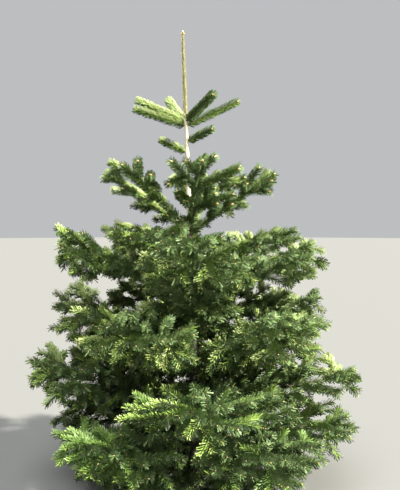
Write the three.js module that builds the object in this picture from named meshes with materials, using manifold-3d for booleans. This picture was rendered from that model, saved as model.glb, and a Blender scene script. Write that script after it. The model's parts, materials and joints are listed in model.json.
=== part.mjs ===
// A young fir grown as a Christmas tree and still rooted in level ground.
// Millimetres, +Z up, origin at the middle of the flat cut under the trunk. The viewer stands on the -Y side.
// Every year's growth is one tier of boughs round the trunk. The younger tiers have a few twigs between them.
// In the three lowest tiers a bare limb carries each mass of foliage. The others grow from the trunk itself.

import * as THREE from "three";
import { mergeVertices } from "three/addons/utils/BufferGeometryUtils.js";
import Module from "manifold-3d";

const wasm = await Module();
wasm.setup();

const SEATING_GAP = 0.3;

const TRUNK = {
  height: 2450,
  radiusAtGround: 32,
  radiusAtTip: 3.5,
  taperPower: 1.15,
  lean: 64,
  leanPower: 1.5,
  sides: 12,
  flareSpread: 17,
  flareHeight: 55,
  flareLobes: 5,
  flareLobeShare: 0.16,
  collarSwell: 0.12,
  collarHeight: 22,
};

// height: where the tier leaves the trunk.
// reach: from the trunk's axis to the bough's tip, measured level.
// rise: slope at the trunk. upturn: slope added towards the tip.
// above, below: the most that foliage stands over and under its bough.
// thickness: the bough's radius at the trunk.
// directions: compass of each bough in degrees, from +X towards +Y. A fan's neighbours come in rising order.
// lifts: slope added to each bough's own rise.
// climb: how much higher each bough leaves the trunk than the one before.
// limbShare: how much of the reach is a bare limb.
const TIERS = [
  {
    name: "tier_1",
    height: 1968, reach: 276, rise: 0.44, upturn: 0, above: 60, below: 60, thickness: 4.5,
    directions: [358, 306, 115, 165, 200],
    lifts: [0, 0, 0.2, 0.02, -0.15],
    growth: "shoot",
  },
  {
    name: "between_1_and_2",
    height: 1808, reach: 150, rise: 0.44, upturn: 0, above: 55, below: 45, thickness: 3.5,
    directions: [318, 186, 350],
    growth: "shoot",
    climb: 76,
  },
  {
    name: "tier_2",
    height: 1405, reach: 450, rise: 0.8, upturn: -0.09, above: 115, below: 90, thickness: 7,
    directions: [4, 72, 177, 225, 278],
    growth: "fan",
  },
  {
    name: "between_2_and_3",
    height: 1275, reach: 560, rise: 0.25, upturn: -0.02, above: 95, below: 90, thickness: 5,
    directions: [5, 130, 250],
    growth: "fan",
    climb: 12,
  },
  {
    name: "tier_3",
    height: 985, reach: 670, rise: 0.6, upturn: -0.05, above: 140, below: 190, thickness: 9,
    directions: [-8, 52, 120, 190, 270],
    lifts: [0, 0, 0, 0.06, 0],
    growth: "fan",
  },
  {
    name: "between_3_and_4",
    height: 840, reach: 500, rise: 0.55, upturn: 0, above: 110, below: 110, thickness: 6,
    directions: evenDirections(3, 30),
    growth: "fan",
    climb: 8,
  },
  {
    name: "tier_4",
    height: 690, reach: 720, rise: 0.48, upturn: -0.03, above: 190, below: 200, thickness: 10,
    directions: evenDirections(5, 20),
    growth: "fan",
  },
  {
    name: "tier_5",
    height: 460, reach: 840, rise: 0.27, upturn: -0.04, above: 200, below: 160, thickness: 11,
    directions: [5, 75, 130, 182, 268],
    growth: "fan",
    limbShare: 0.22,
  },
  {
    name: "tier_6",
    height: 290, reach: 810, rise: 0.2, upturn: -0.03, above: 150, below: 120, thickness: 11,
    directions: [-8, 70, 150, 232, 305],
    growth: "fan",
    limbShare: 0.24,
  },
  {
    name: "tier_7",
    height: 150, reach: 610, rise: 0.13, upturn: -0.02, above: 110, below: 90, thickness: 11,
    directions: evenDirections(5, 26),
    growth: "fan",
    limbShare: 0.26,
  },
];

const BOUGH = {
  tipRadius: 1.8,
  limbSides: 6,
  limbSteps: 2,
  stemSides: 3,
  stemSteps: 3,
  stagger: 22,
  turnJitter: 5,
  reachJitter: 0.06,
  riseJitter: 0.025,
  fullReach: 1.07,
  widestSector: 50,
  clearance: 4,
  groundClearance: 25,
};

// A shoot is a year's growth clothed in needles. A spray is a shoot with its own side shoots, which its teeth
// stand for. A fan is a bough with its sprays.
const SHOOT = {
  halfWidth: 29,
  halfHeight: 25,
  points: 5,
  cups: 5,
  core: 0.34,
  sweep: 0.4,
  throat: 0.08,
  endShare: 0.78,
  tipShare: 0.6,
};
const SPRAY = {
  halfWidth: 44,
  widening: 0.58,
  thickness: 15,
  teeth: 3,
  sweep: 0.42,
  notch: 0.3,
  toothLift: [0.5, -0.38],
  plainLength: 130,
};
const FAN = {
  firstNode: 95,
  offset: 11,
  nodeStep: 145,
  endShoot: 165,
  stemLead: 28,
  stemShare: 0.8,
  sideShare: 0.62,
  sideLeast: 115,
  sideMost: 420,
  spread: 54,
  spreadJitter: 7,
  pitchLow: -26,
  pitchHigh: 34,
  roll: 45,
  trims: [1, 0.9, 0.8, 0.7, 0.6, 0.5, 0.4, 0.3],
  levelling: [1, 0.5, 0],
};

const MATERIALS = {
  bark: new THREE.MeshStandardMaterial({ color: 0x8d8168, roughness: 0.9, metalness: 0 }),
  limb: new THREE.MeshStandardMaterial({ color: 0x6f6248, roughness: 0.9, metalness: 0 }),
  needles: new THREE.MeshStandardMaterial({ color: 0x3d5c2c, roughness: 0.6, metalness: 0 }),
};

function evenDirections(count, first) {
  return Array.from({ length: count }, (_, i) => first + (360 / count) * i);
}

// A number from 0 to 1 that is always the same for the same three whole numbers.
function chance(a, b, c) {
  const wave = Math.sin(a * 127.1 + b * 311.7 + c * 74.7 + 19.19) * 43758.5453;
  return wave - Math.floor(wave);
}

const radians = THREE.MathUtils.degToRad;
const lerp = THREE.MathUtils.lerp;

// The trunk leans a little towards -X, more so in its young top.
function trunkCentre(z) {
  return new THREE.Vector3(-TRUNK.lean * (z / TRUNK.height) ** TRUNK.leanPower, 0, z);
}

function trunkRadius(z, angle, grown) {
  const tapered = (1 - z / TRUNK.height) ** TRUNK.taperPower;
  const plain = lerp(TRUNK.radiusAtTip, TRUNK.radiusAtGround, tapered);
  const lobes = 1 + TRUNK.flareLobeShare * Math.cos(TRUNK.flareLobes * angle);
  const flare = TRUNK.flareSpread * Math.exp(-z / TRUNK.flareHeight) * lobes;
  const nearest = Math.min(...TIERS.map((tier) => Math.abs(z - tier.height)));
  const collar = 1 + TRUNK.collarSwell * Math.max(0, 1 - nearest / (2 * TRUNK.collarHeight));
  return (plain + flare) * collar + grown;
}

// The closed surface through a list of rings. A ring of one point is a tip, and an open end gets a flat cap.
function skin(rings) {
  const points = rings.flat();
  const faces = [];
  let start = 0;
  for (let i = 0; i + 1 < rings.length; i++) {
    const count = rings[i].length;
    const next = start + count;
    const nextCount = rings[i + 1].length;
    for (let j = 0; j < Math.max(count, nextCount); j++) {
      const a = start + (j % count);
      const b = start + ((j + 1) % count);
      const c = next + (j % nextCount);
      const d = next + ((j + 1) % nextCount);
      if (count > 1) faces.push([a, b, d]);
      if (nextCount > 1) faces.push([a, d, c]);
    }
    start = next;
  }
  for (let j = 2; j < rings[0].length; j++) faces.push([0, j, j - 1]);
  const last = rings.at(-1).length;
  for (let j = 2; j < last; j++) faces.push([start, start + j - 1, start + j]);
  const geometry = new THREE.BufferGeometry().setFromPoints(points);
  geometry.setIndex(faces.flat());
  return geometry;
}

function solidOf(geometry) {
  const merged = mergeVertices(geometry, 1e-4);
  return new wasm.Manifold(
    new wasm.Mesh({
      numProp: 3,
      vertProperties: merged.attributes.position.array,
      triVerts: new Uint32Array(merged.index.array),
    }),
  );
}

function geometryOf(solid) {
  const mesh = solid.getMesh();
  const geometry = new THREE.BufferGeometry();
  geometry.setAttribute("position", new THREE.BufferAttribute(mesh.vertProperties, 3));
  geometry.setIndex(new THREE.BufferAttribute(mesh.triVerts, 1));
  return geometry;
}

// The trunk from its flat cut to its tip. grown makes it a little larger, to cut its neighbours clear.
function trunkSolid(grown) {
  const heights = [0, 18, 45, 78];
  for (const tier of TIERS.filter((each) => !each.climb).reverse()) {
    heights.push(tier.height - TRUNK.collarHeight * 2, tier.height);
  }
  heights.push(2120, 2290, TRUNK.height - 12);
  const rings = heights.map((z) => {
    const centre = trunkCentre(z);
    return Array.from({ length: TRUNK.sides }, (_, i) => {
      const angle = (2 * Math.PI * i) / TRUNK.sides;
      const r = trunkRadius(z, angle, grown);
      return new THREE.Vector3(centre.x + r * Math.cos(angle), centre.y + r * Math.sin(angle), z);
    });
  });
  return solidOf(skin([[trunkCentre(0)], ...rings, [trunkCentre(TRUNK.height)]]));
}

// The highest and lowest that a tier's boughs lie at a level distance from the trunk.
function tierHeights(tier, level) {
  const middle = tier.height + tier.rise * level + (tier.upturn * level * level) / tier.reach;
  const climb = ((tier.climb ?? 0) * (tier.directions.length - 1)) / 2;
  const slack = climb + BOUGH.stagger / 2 + BOUGH.riseJitter * level;
  return { highest: middle + slack, lowest: middle - slack };
}

// The heights that bound a tier's space: half way to the next tiers over and under it that reach so far out.
function tierSpace(tier, level) {
  const index = TIERS.indexOf(tier);
  const reachesOut = (other) => level < other.reach * BOUGH.fullReach;
  const over = TIERS.slice(0, index).filter(reachesOut).at(-1);
  const under = TIERS.slice(index + 1).find(reachesOut);
  const own = tierHeights(tier, level);
  return {
    top: over ? (tierHeights(over, level).lowest + own.highest) / 2 : Infinity,
    bottom: under ? (tierHeights(under, level).highest + own.lowest) / 2 : BOUGH.groundClearance,
  };
}

// The curve that a bough follows: u is the level distance from the trunk's axis.
class BoughCurve {
  constructor(tier, index, seed) {
    const count = tier.directions.length;
    const jitter = (i, k) => 2 * chance(seed, i, k) - 1;
    const bearings = tier.directions.map((degrees, i) => degrees + BOUGH.turnJitter * jitter(i, 1));
    const before = bearings[(index + count - 1) % count] - (index === 0 ? 360 : 0);
    const after = bearings[(index + 1) % count] + (index === count - 1 ? 360 : 0);
    const bearing = radians(bearings[index]);
    const climb = tier.climb ?? 0;
    this.tier = tier;
    this.height = tier.height + (index - (count - 1) / 2) * climb + BOUGH.stagger * ((index % 2) - 0.5);
    this.reach = tier.reach * (1 + BOUGH.reachJitter * jitter(index, 2));
    this.rise = tier.rise + (tier.lifts?.[index] ?? 0) + BOUGH.riseJitter * jitter(index, 3);
    this.outward = new THREE.Vector3(Math.cos(bearing), Math.sin(bearing), 0);
    this.sideways = new THREE.Vector3(-Math.sin(bearing), Math.cos(bearing), 0);
    this.root = trunkCentre(this.height);
    this.leftLimit = Math.min(radians(after - bearings[index]) / 2, radians(BOUGH.widestSector));
    this.rightLimit = Math.min(radians(bearings[index] - before) / 2, radians(BOUGH.widestSector));
  }

  lift(u) {
    return this.rise * u + (this.tier.upturn * u * u) / this.tier.reach;
  }

  point(u) {
    const p = this.root.clone().addScaledVector(this.outward, u);
    p.z += this.lift(u);
    return p;
  }

  tangent(u) {
    const slope = this.rise + (2 * this.tier.upturn * u) / this.tier.reach;
    return this.outward.clone().setZ(slope).normalize();
  }

  // Whether a point lies in this bough's own space: its sector round the trunk, and its tier's layer.
  owns(p) {
    const from = p.clone().sub(this.root);
    const u = from.dot(this.outward);
    const v = from.dot(this.sideways);
    const level = Math.hypot(u, v);
    const sector = v > 0 ? this.leftLimit : this.rightLimit;
    const besides = u * Math.sin(sector) - Math.abs(v) * Math.cos(sector);
    const over = from.z - this.lift(u);
    const space = tierSpace(this.tier, level);
    return (
      u > 0 &&
      level < this.tier.reach * BOUGH.fullReach &&
      besides > BOUGH.clearance &&
      over < this.tier.above &&
      over > -this.tier.below &&
      p.z < space.top - BOUGH.clearance &&
      p.z > space.bottom + BOUGH.clearance
    );
  }
}

// A limb or stem: rings square to the bough's curve, from u0 to u1. radius takes the share of the way along.
function limbSolid(curve, u0, u1, radius, sides, steps) {
  const rings = [];
  for (let i = 0; i <= steps; i++) {
    const share = i / steps;
    const u = lerp(u0, u1, share);
    const forward = curve.tangent(u);
    const up = new THREE.Vector3().crossVectors(forward, curve.sideways).normalize();
    const r = radius(share);
    rings.push(
      Array.from({ length: sides }, (_, j) => {
        const angle = (2 * Math.PI * j) / sides + Math.PI / 2;
        return curve
          .point(u)
          .addScaledVector(curve.sideways, r * Math.cos(angle))
          .addScaledVector(up, r * Math.sin(angle));
      }),
    );
  }
  return solidOf(skin(rings));
}

// One plain shoot: cups of needles one inside the next along it, with their points swept forwards.
function shootRings(root, forward, across, length) {
  const up = new THREE.Vector3().crossVectors(forward, across);
  const { halfWidth, halfHeight, points, cups, core, sweep, throat, endShare, tipShare } = SHOOT;
  const pitch = length / (cups + sweep);
  const ring = (along, scale) =>
    Array.from({ length: points }, (_, j) => {
      const angle = Math.PI / 2 + (2 * Math.PI * j) / points;
      return root
        .clone()
        .addScaledVector(forward, along)
        .addScaledVector(across, scale * halfWidth * Math.cos(angle))
        .addScaledVector(up, scale * halfHeight * Math.sin(angle));
    });
  const rings = [[root.clone()]];
  for (let c = 0; c < cups; c++) {
    const width = c === 0 || c === cups - 1 ? endShare : 1;
    rings.push(ring((c + throat) * pitch, core * width));
    rings.push(ring((c + 1 + sweep) * pitch, width));
  }
  rings.push(ring((cups + throat) * pitch, core * tipShare));
  rings.push([root.clone().addScaledVector(forward, length)]);
  return rings;
}

// How wide a spray stands at a share of its length: a kite, or for a short one an even band.
function outline(share, isKite) {
  if (!isKite) return share > 0.85 ? 0.72 : 1;
  const widest = 0.42;
  return share < widest ? lerp(0.45, 1, share / widest) : lerp(1, 0.42, (share - widest) / (1 - widest));
}

// A spray: a blade with a ridge and teeth that sweep forwards, one lifted and the next lowered.
function sprayBlade({ root, forward, across, length }) {
  const up = new THREE.Vector3().crossVectors(forward, across);
  const place = (along, aside, high) =>
    root.clone().addScaledVector(forward, along).addScaledVector(across, aside).addScaledVector(up, high);
  const { teeth, sweep, notch: notchDepth, plainLength, toothLift } = SPRAY;
  const halfWidth = SPRAY.halfWidth + SPRAY.widening * Math.max(0, length - plainLength);
  const pitch = length / (teeth + sweep);
  const tipIndex = 2;
  const points = [place(0, 0, SPRAY.thickness), place(0, 0, -SPRAY.thickness), place(length, 0, 0)];
  const faces = [];
  for (const side of [1, -1]) {
    const face = (a, b, c) => faces.push(side > 0 ? [a, b, c] : [a, c, b]);
    const first = points.length;
    for (let t = 0; t < teeth; t++) {
      const tip = (t + 1 + sweep) * pitch;
      const width = halfWidth * outline(tip / length, length > plainLength);
      const lift = toothLift[(t + (side > 0 ? 1 : 0)) % 2];
      points.push(place(tip, side * width, lift * width));
      points.push(place((t + 1) * pitch, side * width * notchDepth, 0));
    }
    const toothTip = (t) => first + 2 * t;
    const notch = (t) => first + 2 * t + 1;
    for (const surface of [0, 1]) {
      const lay = (a, b, c) => (surface === 0 ? face(a, b, c) : face(a, c, b));
      for (let t = 0; t < teeth; t++) {
        lay(t === 0 ? surface : notch(t - 1), notch(t), toothTip(t));
        lay(surface, t === teeth - 1 ? tipIndex : notch(t + 1), notch(t));
      }
    }
    face(0, toothTip(0), 1);
  }
  const geometry = new THREE.BufferGeometry().setFromPoints(points);
  geometry.setIndex(faces.flat());
  return { points, geometry };
}

// Which way a side spray grows from its bough, and how its blade is turned about that way.
function sprayFrame(curve, u, side, { spread, pitch, roll }) {
  const forward = curve
    .tangent(u)
    .multiplyScalar(Math.cos(spread))
    .addScaledVector(curve.sideways, side * Math.sin(spread));
  forward.multiplyScalar(Math.cos(pitch)).setZ(forward.z + Math.sin(pitch)).normalize();
  const across = new THREE.Vector3(0, 0, 1).cross(forward).normalize().applyAxisAngle(forward, roll);
  return { root: curve.point(u), forward, across };
}

// The largest spray that stays in the bough's own space, turned more level where that helps, or nothing.
function fitSpray(curve, u, side, length, turn) {
  for (const trim of FAN.trims) {
    for (const level of FAN.levelling) {
      const levelled = { ...turn, pitch: turn.pitch * level, roll: turn.roll * level };
      const blade = sprayBlade({ ...sprayFrame(curve, u, side, levelled), length: length * trim });
      if (blade.points.slice(2).every((p) => curve.owns(p))) return solidOf(blade.geometry);
    }
  }
  return null;
}

function shootFoliage(curve, u0) {
  const stemEnd = curve.reach * 0.6;
  const radius = (share) => lerp(curve.tier.thickness, BOUGH.tipRadius, share);
  const stem = limbSolid(curve, u0, stemEnd, radius, BOUGH.stemSides, 1);
  const start = curve.reach * 0.2;
  const forward = curve.tangent(start);
  const length = (curve.reach - start) / forward.dot(curve.outward);
  return [stem, solidOf(skin(shootRings(curve.point(start), forward, curve.sideways, length)))];
}

function fanFoliage(curve, u0, seed) {
  const endStart = curve.reach - FAN.endShoot;
  const endForward = curve.point(curve.reach).sub(curve.point(endStart)).normalize();
  const end = sprayBlade({
    root: curve.point(endStart),
    forward: endForward,
    across: curve.sideways,
    length: FAN.endShoot / endForward.dot(curve.outward),
  });
  const stemEnd = curve.reach - FAN.endShoot / 2;
  const radius = (share) => lerp(curve.tier.thickness * FAN.stemShare, BOUGH.tipRadius, share);
  const stem = limbSolid(curve, u0, stemEnd, radius, BOUGH.stemSides, BOUGH.stemSteps);
  const pieces = [stem, solidOf(end.geometry)];
  const first = Math.max(FAN.firstNode, u0 + FAN.stemLead);
  const last = endStart;
  const nodes = Math.max(1, Math.round((last - first) / FAN.nodeStep));
  for (let n = 0; n <= nodes; n++) {
    for (const side of [-1, 1]) {
      const u = lerp(first, last, n / nodes) + side * FAN.offset;
      const luck = (k) => chance(seed, 10 * n + side, k);
      const alternate = (n + (side + 1) / 2) % 2;
      const length = Math.min(FAN.sideShare * (curve.reach - u) + FAN.sideLeast, FAN.sideMost);
      const turn = {
        spread: radians(FAN.spread + FAN.spreadJitter * (2 * luck(5) - 1)),
        pitch: radians(lerp(FAN.pitchLow, FAN.pitchHigh, (luck(6) + alternate) / 2)),
        roll: radians(FAN.roll * (2 * luck(7) - 1)),
      };
      const spray = fitSpray(curve, u, side, length * lerp(0.88, 1.12, luck(4)), turn);
      if (spray) pieces.push(spray);
    }
  }
  return pieces;
}

// One closed body: the pieces fused, cut clear of the trunk, with any loose scrap dropped.
function fuse(pieces, cutter) {
  const whole = wasm.Manifold.union(pieces).subtract(cutter);
  return whole.decompose().sort((a, b) => b.volume() - a.volume())[0];
}

function namedMesh(name, solid, material) {
  const mesh = new THREE.Mesh(geometryOf(solid), material);
  mesh.name = name;
  return mesh;
}

function growTree() {
  const tree = new THREE.Group();
  tree.add(namedMesh("trunk", trunkSolid(0), MATERIALS.bark));
  const cutter = trunkSolid(SEATING_GAP);
  TIERS.forEach((tier, t) => {
    tier.directions.forEach((_, index) => {
      const curve = new BoughCurve(tier, index, t + 1);
      const label = index + 1;
      let start = 0;
      if (tier.limbShare) {
        const limbEnd = tier.limbShare * curve.reach;
        const radius = (share) => tier.thickness * lerp(1, FAN.stemShare, share);
        const limb = limbSolid(curve, 0, limbEnd, radius, BOUGH.limbSides, BOUGH.limbSteps);
        tree.add(namedMesh(`${tier.name}_bough_${label}`, fuse([limb], cutter), MATERIALS.limb));
        start = limbEnd + SEATING_GAP;
      }
      const seed = 100 * (t + 1) + index;
      const pieces = tier.growth === "shoot" ? shootFoliage(curve, start) : fanFoliage(curve, start, seed);
      tree.add(namedMesh(`${tier.name}_foliage_${label}`, fuse(pieces, cutter), MATERIALS.needles));
    });
  });
  return tree;
}

export default growTree();
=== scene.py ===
"""A young fir grown as a Christmas tree: bark, shoots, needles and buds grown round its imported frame.

Metres, +Z up, origin at the middle of the flat cut under the trunk. The viewer stands on the -Y side.
Every year's growth is one tier of boughs. Boughs carry side shoots, and those carry finer ones, by the rule
that laid out the solids, carried on to the last twig. Each keeps to its own bough's space.
"""

import json
import logging
import math
from dataclasses import dataclass, field
from enum import Enum, IntEnum

import bpy
import numpy as np
from mathutils import Euler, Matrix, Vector
from numpy.typing import NDArray

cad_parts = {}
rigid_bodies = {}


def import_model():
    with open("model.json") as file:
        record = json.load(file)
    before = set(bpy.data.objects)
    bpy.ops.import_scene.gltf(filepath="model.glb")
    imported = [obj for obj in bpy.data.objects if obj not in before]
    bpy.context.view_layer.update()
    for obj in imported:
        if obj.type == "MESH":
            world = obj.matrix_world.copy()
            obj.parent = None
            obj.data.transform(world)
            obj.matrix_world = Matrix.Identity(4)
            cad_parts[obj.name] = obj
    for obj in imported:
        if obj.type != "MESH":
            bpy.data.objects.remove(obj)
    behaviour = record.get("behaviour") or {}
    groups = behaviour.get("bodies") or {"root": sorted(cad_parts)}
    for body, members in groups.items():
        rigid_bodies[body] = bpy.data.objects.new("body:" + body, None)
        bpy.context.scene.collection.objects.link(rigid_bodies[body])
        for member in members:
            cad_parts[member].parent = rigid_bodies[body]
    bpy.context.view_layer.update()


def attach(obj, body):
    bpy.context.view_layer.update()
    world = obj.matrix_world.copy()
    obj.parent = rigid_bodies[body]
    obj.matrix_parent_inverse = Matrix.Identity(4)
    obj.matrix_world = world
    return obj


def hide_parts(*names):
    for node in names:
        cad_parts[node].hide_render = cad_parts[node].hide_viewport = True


Array = NDArray[np.float64]
Rows = NDArray[np.int64]

LOG = logging.getLogger("fir")
ZENITH = np.array([0.0, 0.0, 1.0])


# The rule of growth, as in the solids


class Growth(Enum):
    """How a bough is clothed."""

    SHOOT = "one plain shoot"
    FAN = "a stem with side sprays"


@dataclass(frozen=True, kw_only=True)
class Tier:
    """One year's boughs round the trunk. Lengths in metres, slopes as rise over run, directions in degrees.

    The fields down to limb_share lay out the solids too. Directions are in rising order where boughs branch.
    The other fields are the scene's own: year is the length of a year's side growth, spacing keeps shoots
    apart, and turn_up bends their tips up by a share of their length. freshness brightens the high tiers'
    greens and darkens the low tiers', partly for younger growth and partly as painted light and painted
    shade, and shades darkens single boughs' greens as painted shade.
    """

    name: str
    height: float
    reach: float
    rise: float
    upturn: float
    above: float
    below: float
    thickness: float
    directions: tuple[float, ...]
    lifts: tuple[float, ...] = ()
    growth: Growth = Growth.FAN
    climb: float = 0.0
    limb_share: float = 0.0
    year: float = 0.115
    needles_per_metre: float
    needle_width: float
    needle_pieces: int = 1
    spacing: float = 0.058
    turn_up: float
    painted_light_and_freshness: float
    painted_shades: tuple[float, ...] = ()


def even_directions(count: int, first: float) -> tuple[float, ...]:
    """Directions shared out evenly round the trunk."""
    return tuple(first + 360.0 / count * i for i in range(count))


# Painted light and shade: freshness lightens the high tiers and darkens the low ones, and shades darkens
# single boughs
TIERS = (
    Tier(
        name="tier_1", height=1.968, reach=0.276, rise=0.44, upturn=0.0, above=0.060, below=0.060,
        thickness=0.0045, directions=(358, 306, 115, 165, 200), lifts=(0, 0, 0.2, 0.02, -0.15),
        growth=Growth.SHOOT,
        needles_per_metre=3000, needle_width=0.0034, turn_up=-0.05, painted_light_and_freshness=0.55,
    ),
    Tier(
        name="between_1_and_2", height=1.808, reach=0.150, rise=0.44, upturn=0.0, above=0.055, below=0.045,
        thickness=0.0035, directions=(318, 186, 350), growth=Growth.SHOOT, climb=0.076,
        needles_per_metre=3000, needle_width=0.0034, turn_up=-0.05, painted_light_and_freshness=0.45,
    ),
    Tier(
        name="tier_2", height=1.405, reach=0.450, rise=0.80, upturn=-0.09, above=0.115, below=0.090,
        thickness=0.0070, directions=(4, 72, 177, 225, 278), year=0.15,
        needles_per_metre=1950, needle_width=0.0041, turn_up=-0.06, painted_light_and_freshness=0.24, spacing=0.070,
    ),
    Tier(
        name="between_2_and_3", height=1.275, reach=0.560, rise=0.25, upturn=-0.02, above=0.095, below=0.090,
        thickness=0.0050, directions=(5, 130, 250), climb=0.012, year=0.13,
        needles_per_metre=1500, needle_width=0.0044, turn_up=-0.09, painted_light_and_freshness=0.17, spacing=0.066,
    ),
    Tier(
        name="tier_3", height=0.985, reach=0.670, rise=0.60, upturn=-0.05, above=0.140, below=0.190,
        thickness=0.0090, directions=(-8, 52, 120, 190, 270), lifts=(0, 0, 0, 0.06, 0), year=0.135,
        needles_per_metre=920, needle_width=0.0055, turn_up=-0.10, painted_light_and_freshness=0.22, spacing=0.051,
        painted_shades=(0, 0, 0, -0.42, 0),
    ),
    Tier(
        name="between_3_and_4", height=0.840, reach=0.500, rise=0.55, upturn=0.0, above=0.110, below=0.110,
        thickness=0.0060, directions=even_directions(3, 30), climb=0.008, year=0.12,
        needles_per_metre=1020, needle_width=0.0052, turn_up=-0.10, painted_light_and_freshness=0.14,
    ),
    Tier(
        name="tier_4", height=0.690, reach=0.720, rise=0.48, upturn=-0.03, above=0.190, below=0.200,
        thickness=0.0100, directions=even_directions(5, 20), year=0.125,
        needles_per_metre=770, needle_width=0.0058, turn_up=-0.11, painted_light_and_freshness=0.20, needle_pieces=2,
        spacing=0.055, painted_shades=(0, 0, -0.20, -0.08, 0),
    ),
    Tier(
        name="tier_5", height=0.460, reach=0.840, rise=0.27, upturn=-0.04, above=0.200, below=0.160,
        thickness=0.0110, directions=(5, 75, 130, 182, 268), limb_share=0.22, year=0.120,
        needles_per_metre=760, needle_width=0.0058, turn_up=-0.12, painted_light_and_freshness=0.11, needle_pieces=2,
        painted_shades=(-0.14, 0, -0.10, -0.25, -0.40),
    ),
    Tier(
        name="tier_6", height=0.290, reach=0.810, rise=0.20, upturn=-0.03, above=0.150, below=0.120,
        thickness=0.0110, directions=(-8, 70, 150, 232, 305), limb_share=0.24, year=0.115,
        needles_per_metre=750, needle_width=0.0058, turn_up=-0.12, painted_light_and_freshness=-0.20, needle_pieces=2,
        painted_shades=(0, 0, -0.10, -0.95, -0.60),
    ),
    Tier(
        name="tier_7", height=0.150, reach=0.610, rise=0.13, upturn=-0.02, above=0.110, below=0.090,
        thickness=0.0110, directions=even_directions(5, 26), limb_share=0.26, year=0.110,
        needles_per_metre=730, needle_width=0.0058, turn_up=-0.14, painted_light_and_freshness=-0.46,
    ),
)


@dataclass(frozen=True)
class BoughRule:
    """What all boughs share. Lengths in metres, angles in degrees.

    stem_share is how stout a bough's stem is, as a share of its tier's thickness. reach_jitter is a share of
    the reach, and rise_jitter a slope. full_reach is how far out anything may come, as a share of the tier's
    reach. No bough's sector is wider to one side than widest_sector.
    """

    tip_radius: float = 0.0018
    stem_share: float = 0.8
    stagger: float = 0.022
    turn_jitter: float = 5.0
    reach_jitter: float = 0.06
    rise_jitter: float = 0.025
    full_reach: float = 1.07
    widest_sector: float = 50.0
    clearance: float = 0.004
    ground_clearance: float = 0.025


@dataclass(frozen=True)
class SprayRule:
    """The outline of one side spray of a fan, which bounds its finer shoots.

    A long spray is a kite, widest at the share widest of its length. One up to plain_length is an even band,
    narrower past the share band_end. These widths are shares of the half width.
    """

    half_width: float = 0.044
    widening: float = 0.58
    teeth: int = 3
    sweep: float = 0.42
    notch: float = 0.3
    tooth_lift: tuple[float, float] = (0.5, -0.38)
    plain_length: float = 0.130
    widest: float = 0.42
    root_width: float = 0.45
    tip_width: float = 0.42
    band_end: float = 0.85
    band_tip_width: float = 0.72


@dataclass(frozen=True)
class FanRule:
    """Where a bough's side sprays stand, how they are turned, and how stout and bent their stems are."""

    first_node: float = 0.095
    offset: float = 0.011
    node_step: float = 0.145
    end_shoot: float = 0.165
    stem_lead: float = 0.028
    side_share: float = 0.62
    side_least: float = 0.115
    side_most: float = 0.420
    spread: float = 54.0
    spread_jitter: float = 7.0
    pitch_low: float = -26.0
    pitch_high: float = 34.0
    roll: float = 45.0
    trims: tuple[float, ...] = (1, 0.9, 0.8, 0.7, 0.6, 0.5, 0.4, 0.3)
    levelling: tuple[float, ...] = (1, 0.5, 0)
    length_jitter: tuple[float, float] = (0.88, 1.12)
    bend_range: tuple[float, float] = (0.2, 0.8)
    thinnest: float = 0.0016
    girth_per_length: float = 0.010


BOUGH = BoughRule()
SPRAY = SprayRule()
FAN = FanRule()


def chance(a: Array | float, b: Array | float, c: Array | float) -> Array:
    """Numbers from 0 to 1 that are always the same for the same three numbers.

    Args:
        a: The plant part that asks.
        b: Its node and side.
        c: What the number is for.

    Returns:
        The fraction of a large multiple of a sine.
    """
    wave = np.sin(np.asarray(a) * 127.1 + np.asarray(b) * 311.7 + np.asarray(c) * 74.7 + 19.19) * 43758.5453
    return wave - np.floor(wave)


def unit(vectors: Array) -> Array:
    """Vectors of length 1 with the same directions."""
    return vectors / np.linalg.norm(vectors, axis=-1, keepdims=True)


def blend(low: Array | float, high: Array | float, share: Array | float) -> Array:
    """The value a share of the way from low to high."""
    return low + (high - low) * share


@dataclass(frozen=True)
class TrunkShape:
    """The trunk's line and girth, as in its solid."""

    height: float = 2.450
    radius_at_ground: float = 0.032
    radius_at_tip: float = 0.0035
    taper_power: float = 1.15
    lean: float = 0.064
    lean_power: float = 1.5
    flare_spread: float = 0.017
    flare_height: float = 0.055
    flare_lobes: int = 5
    flare_lobe_share: float = 0.16
    collar_swell: float = 0.12
    collar_height: float = 0.022

    def centre(self, z: Array | float) -> Array:
        """The middle of the trunk at a height: it leans towards -X with the 1.5th power of the height."""
        z = np.asarray(z, float)
        x = -self.lean * (z / self.height) ** self.lean_power
        return np.stack([x, np.zeros_like(z), z], axis=-1)

    def radius(self, z: Array, angle: Array) -> Array:
        """The girth: a power taper, a flare that dies away up from the ground, and a collar at each tier.

        Args:
            z: Heights.
            angle: Angles round the trunk in radians.

        Returns:
            The radius at each height and angle.
        """
        plain = blend(self.radius_at_tip, self.radius_at_ground, (1 - z / self.height) ** self.taper_power)
        lobes = 1 + self.flare_lobe_share * np.cos(self.flare_lobes * angle)
        flare = self.flare_spread * np.exp(-z / self.flare_height) * lobes
        nearest = np.min([np.abs(z - tier.height) for tier in TIERS], axis=0)
        collar = 1 + self.collar_swell * np.maximum(0, 1 - nearest / (2 * self.collar_height))
        return (plain + flare) * collar


TRUNK = TrunkShape()


def tier_heights(tier: Tier, level: Array) -> tuple[Array, Array]:
    """The highest and lowest that a tier's boughs lie: their mean curve, and their slack over and under it.

    Args:
        tier: The tier.
        level: Level distances from the trunk.

    Returns:
        The highest and the lowest height at each distance.
    """
    middle = tier.height + tier.rise * level + tier.upturn * level**2 / tier.reach
    slack = tier.climb * (len(tier.directions) - 1) / 2 + BOUGH.stagger / 2 + BOUGH.rise_jitter * level
    return middle + slack, middle - slack


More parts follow.
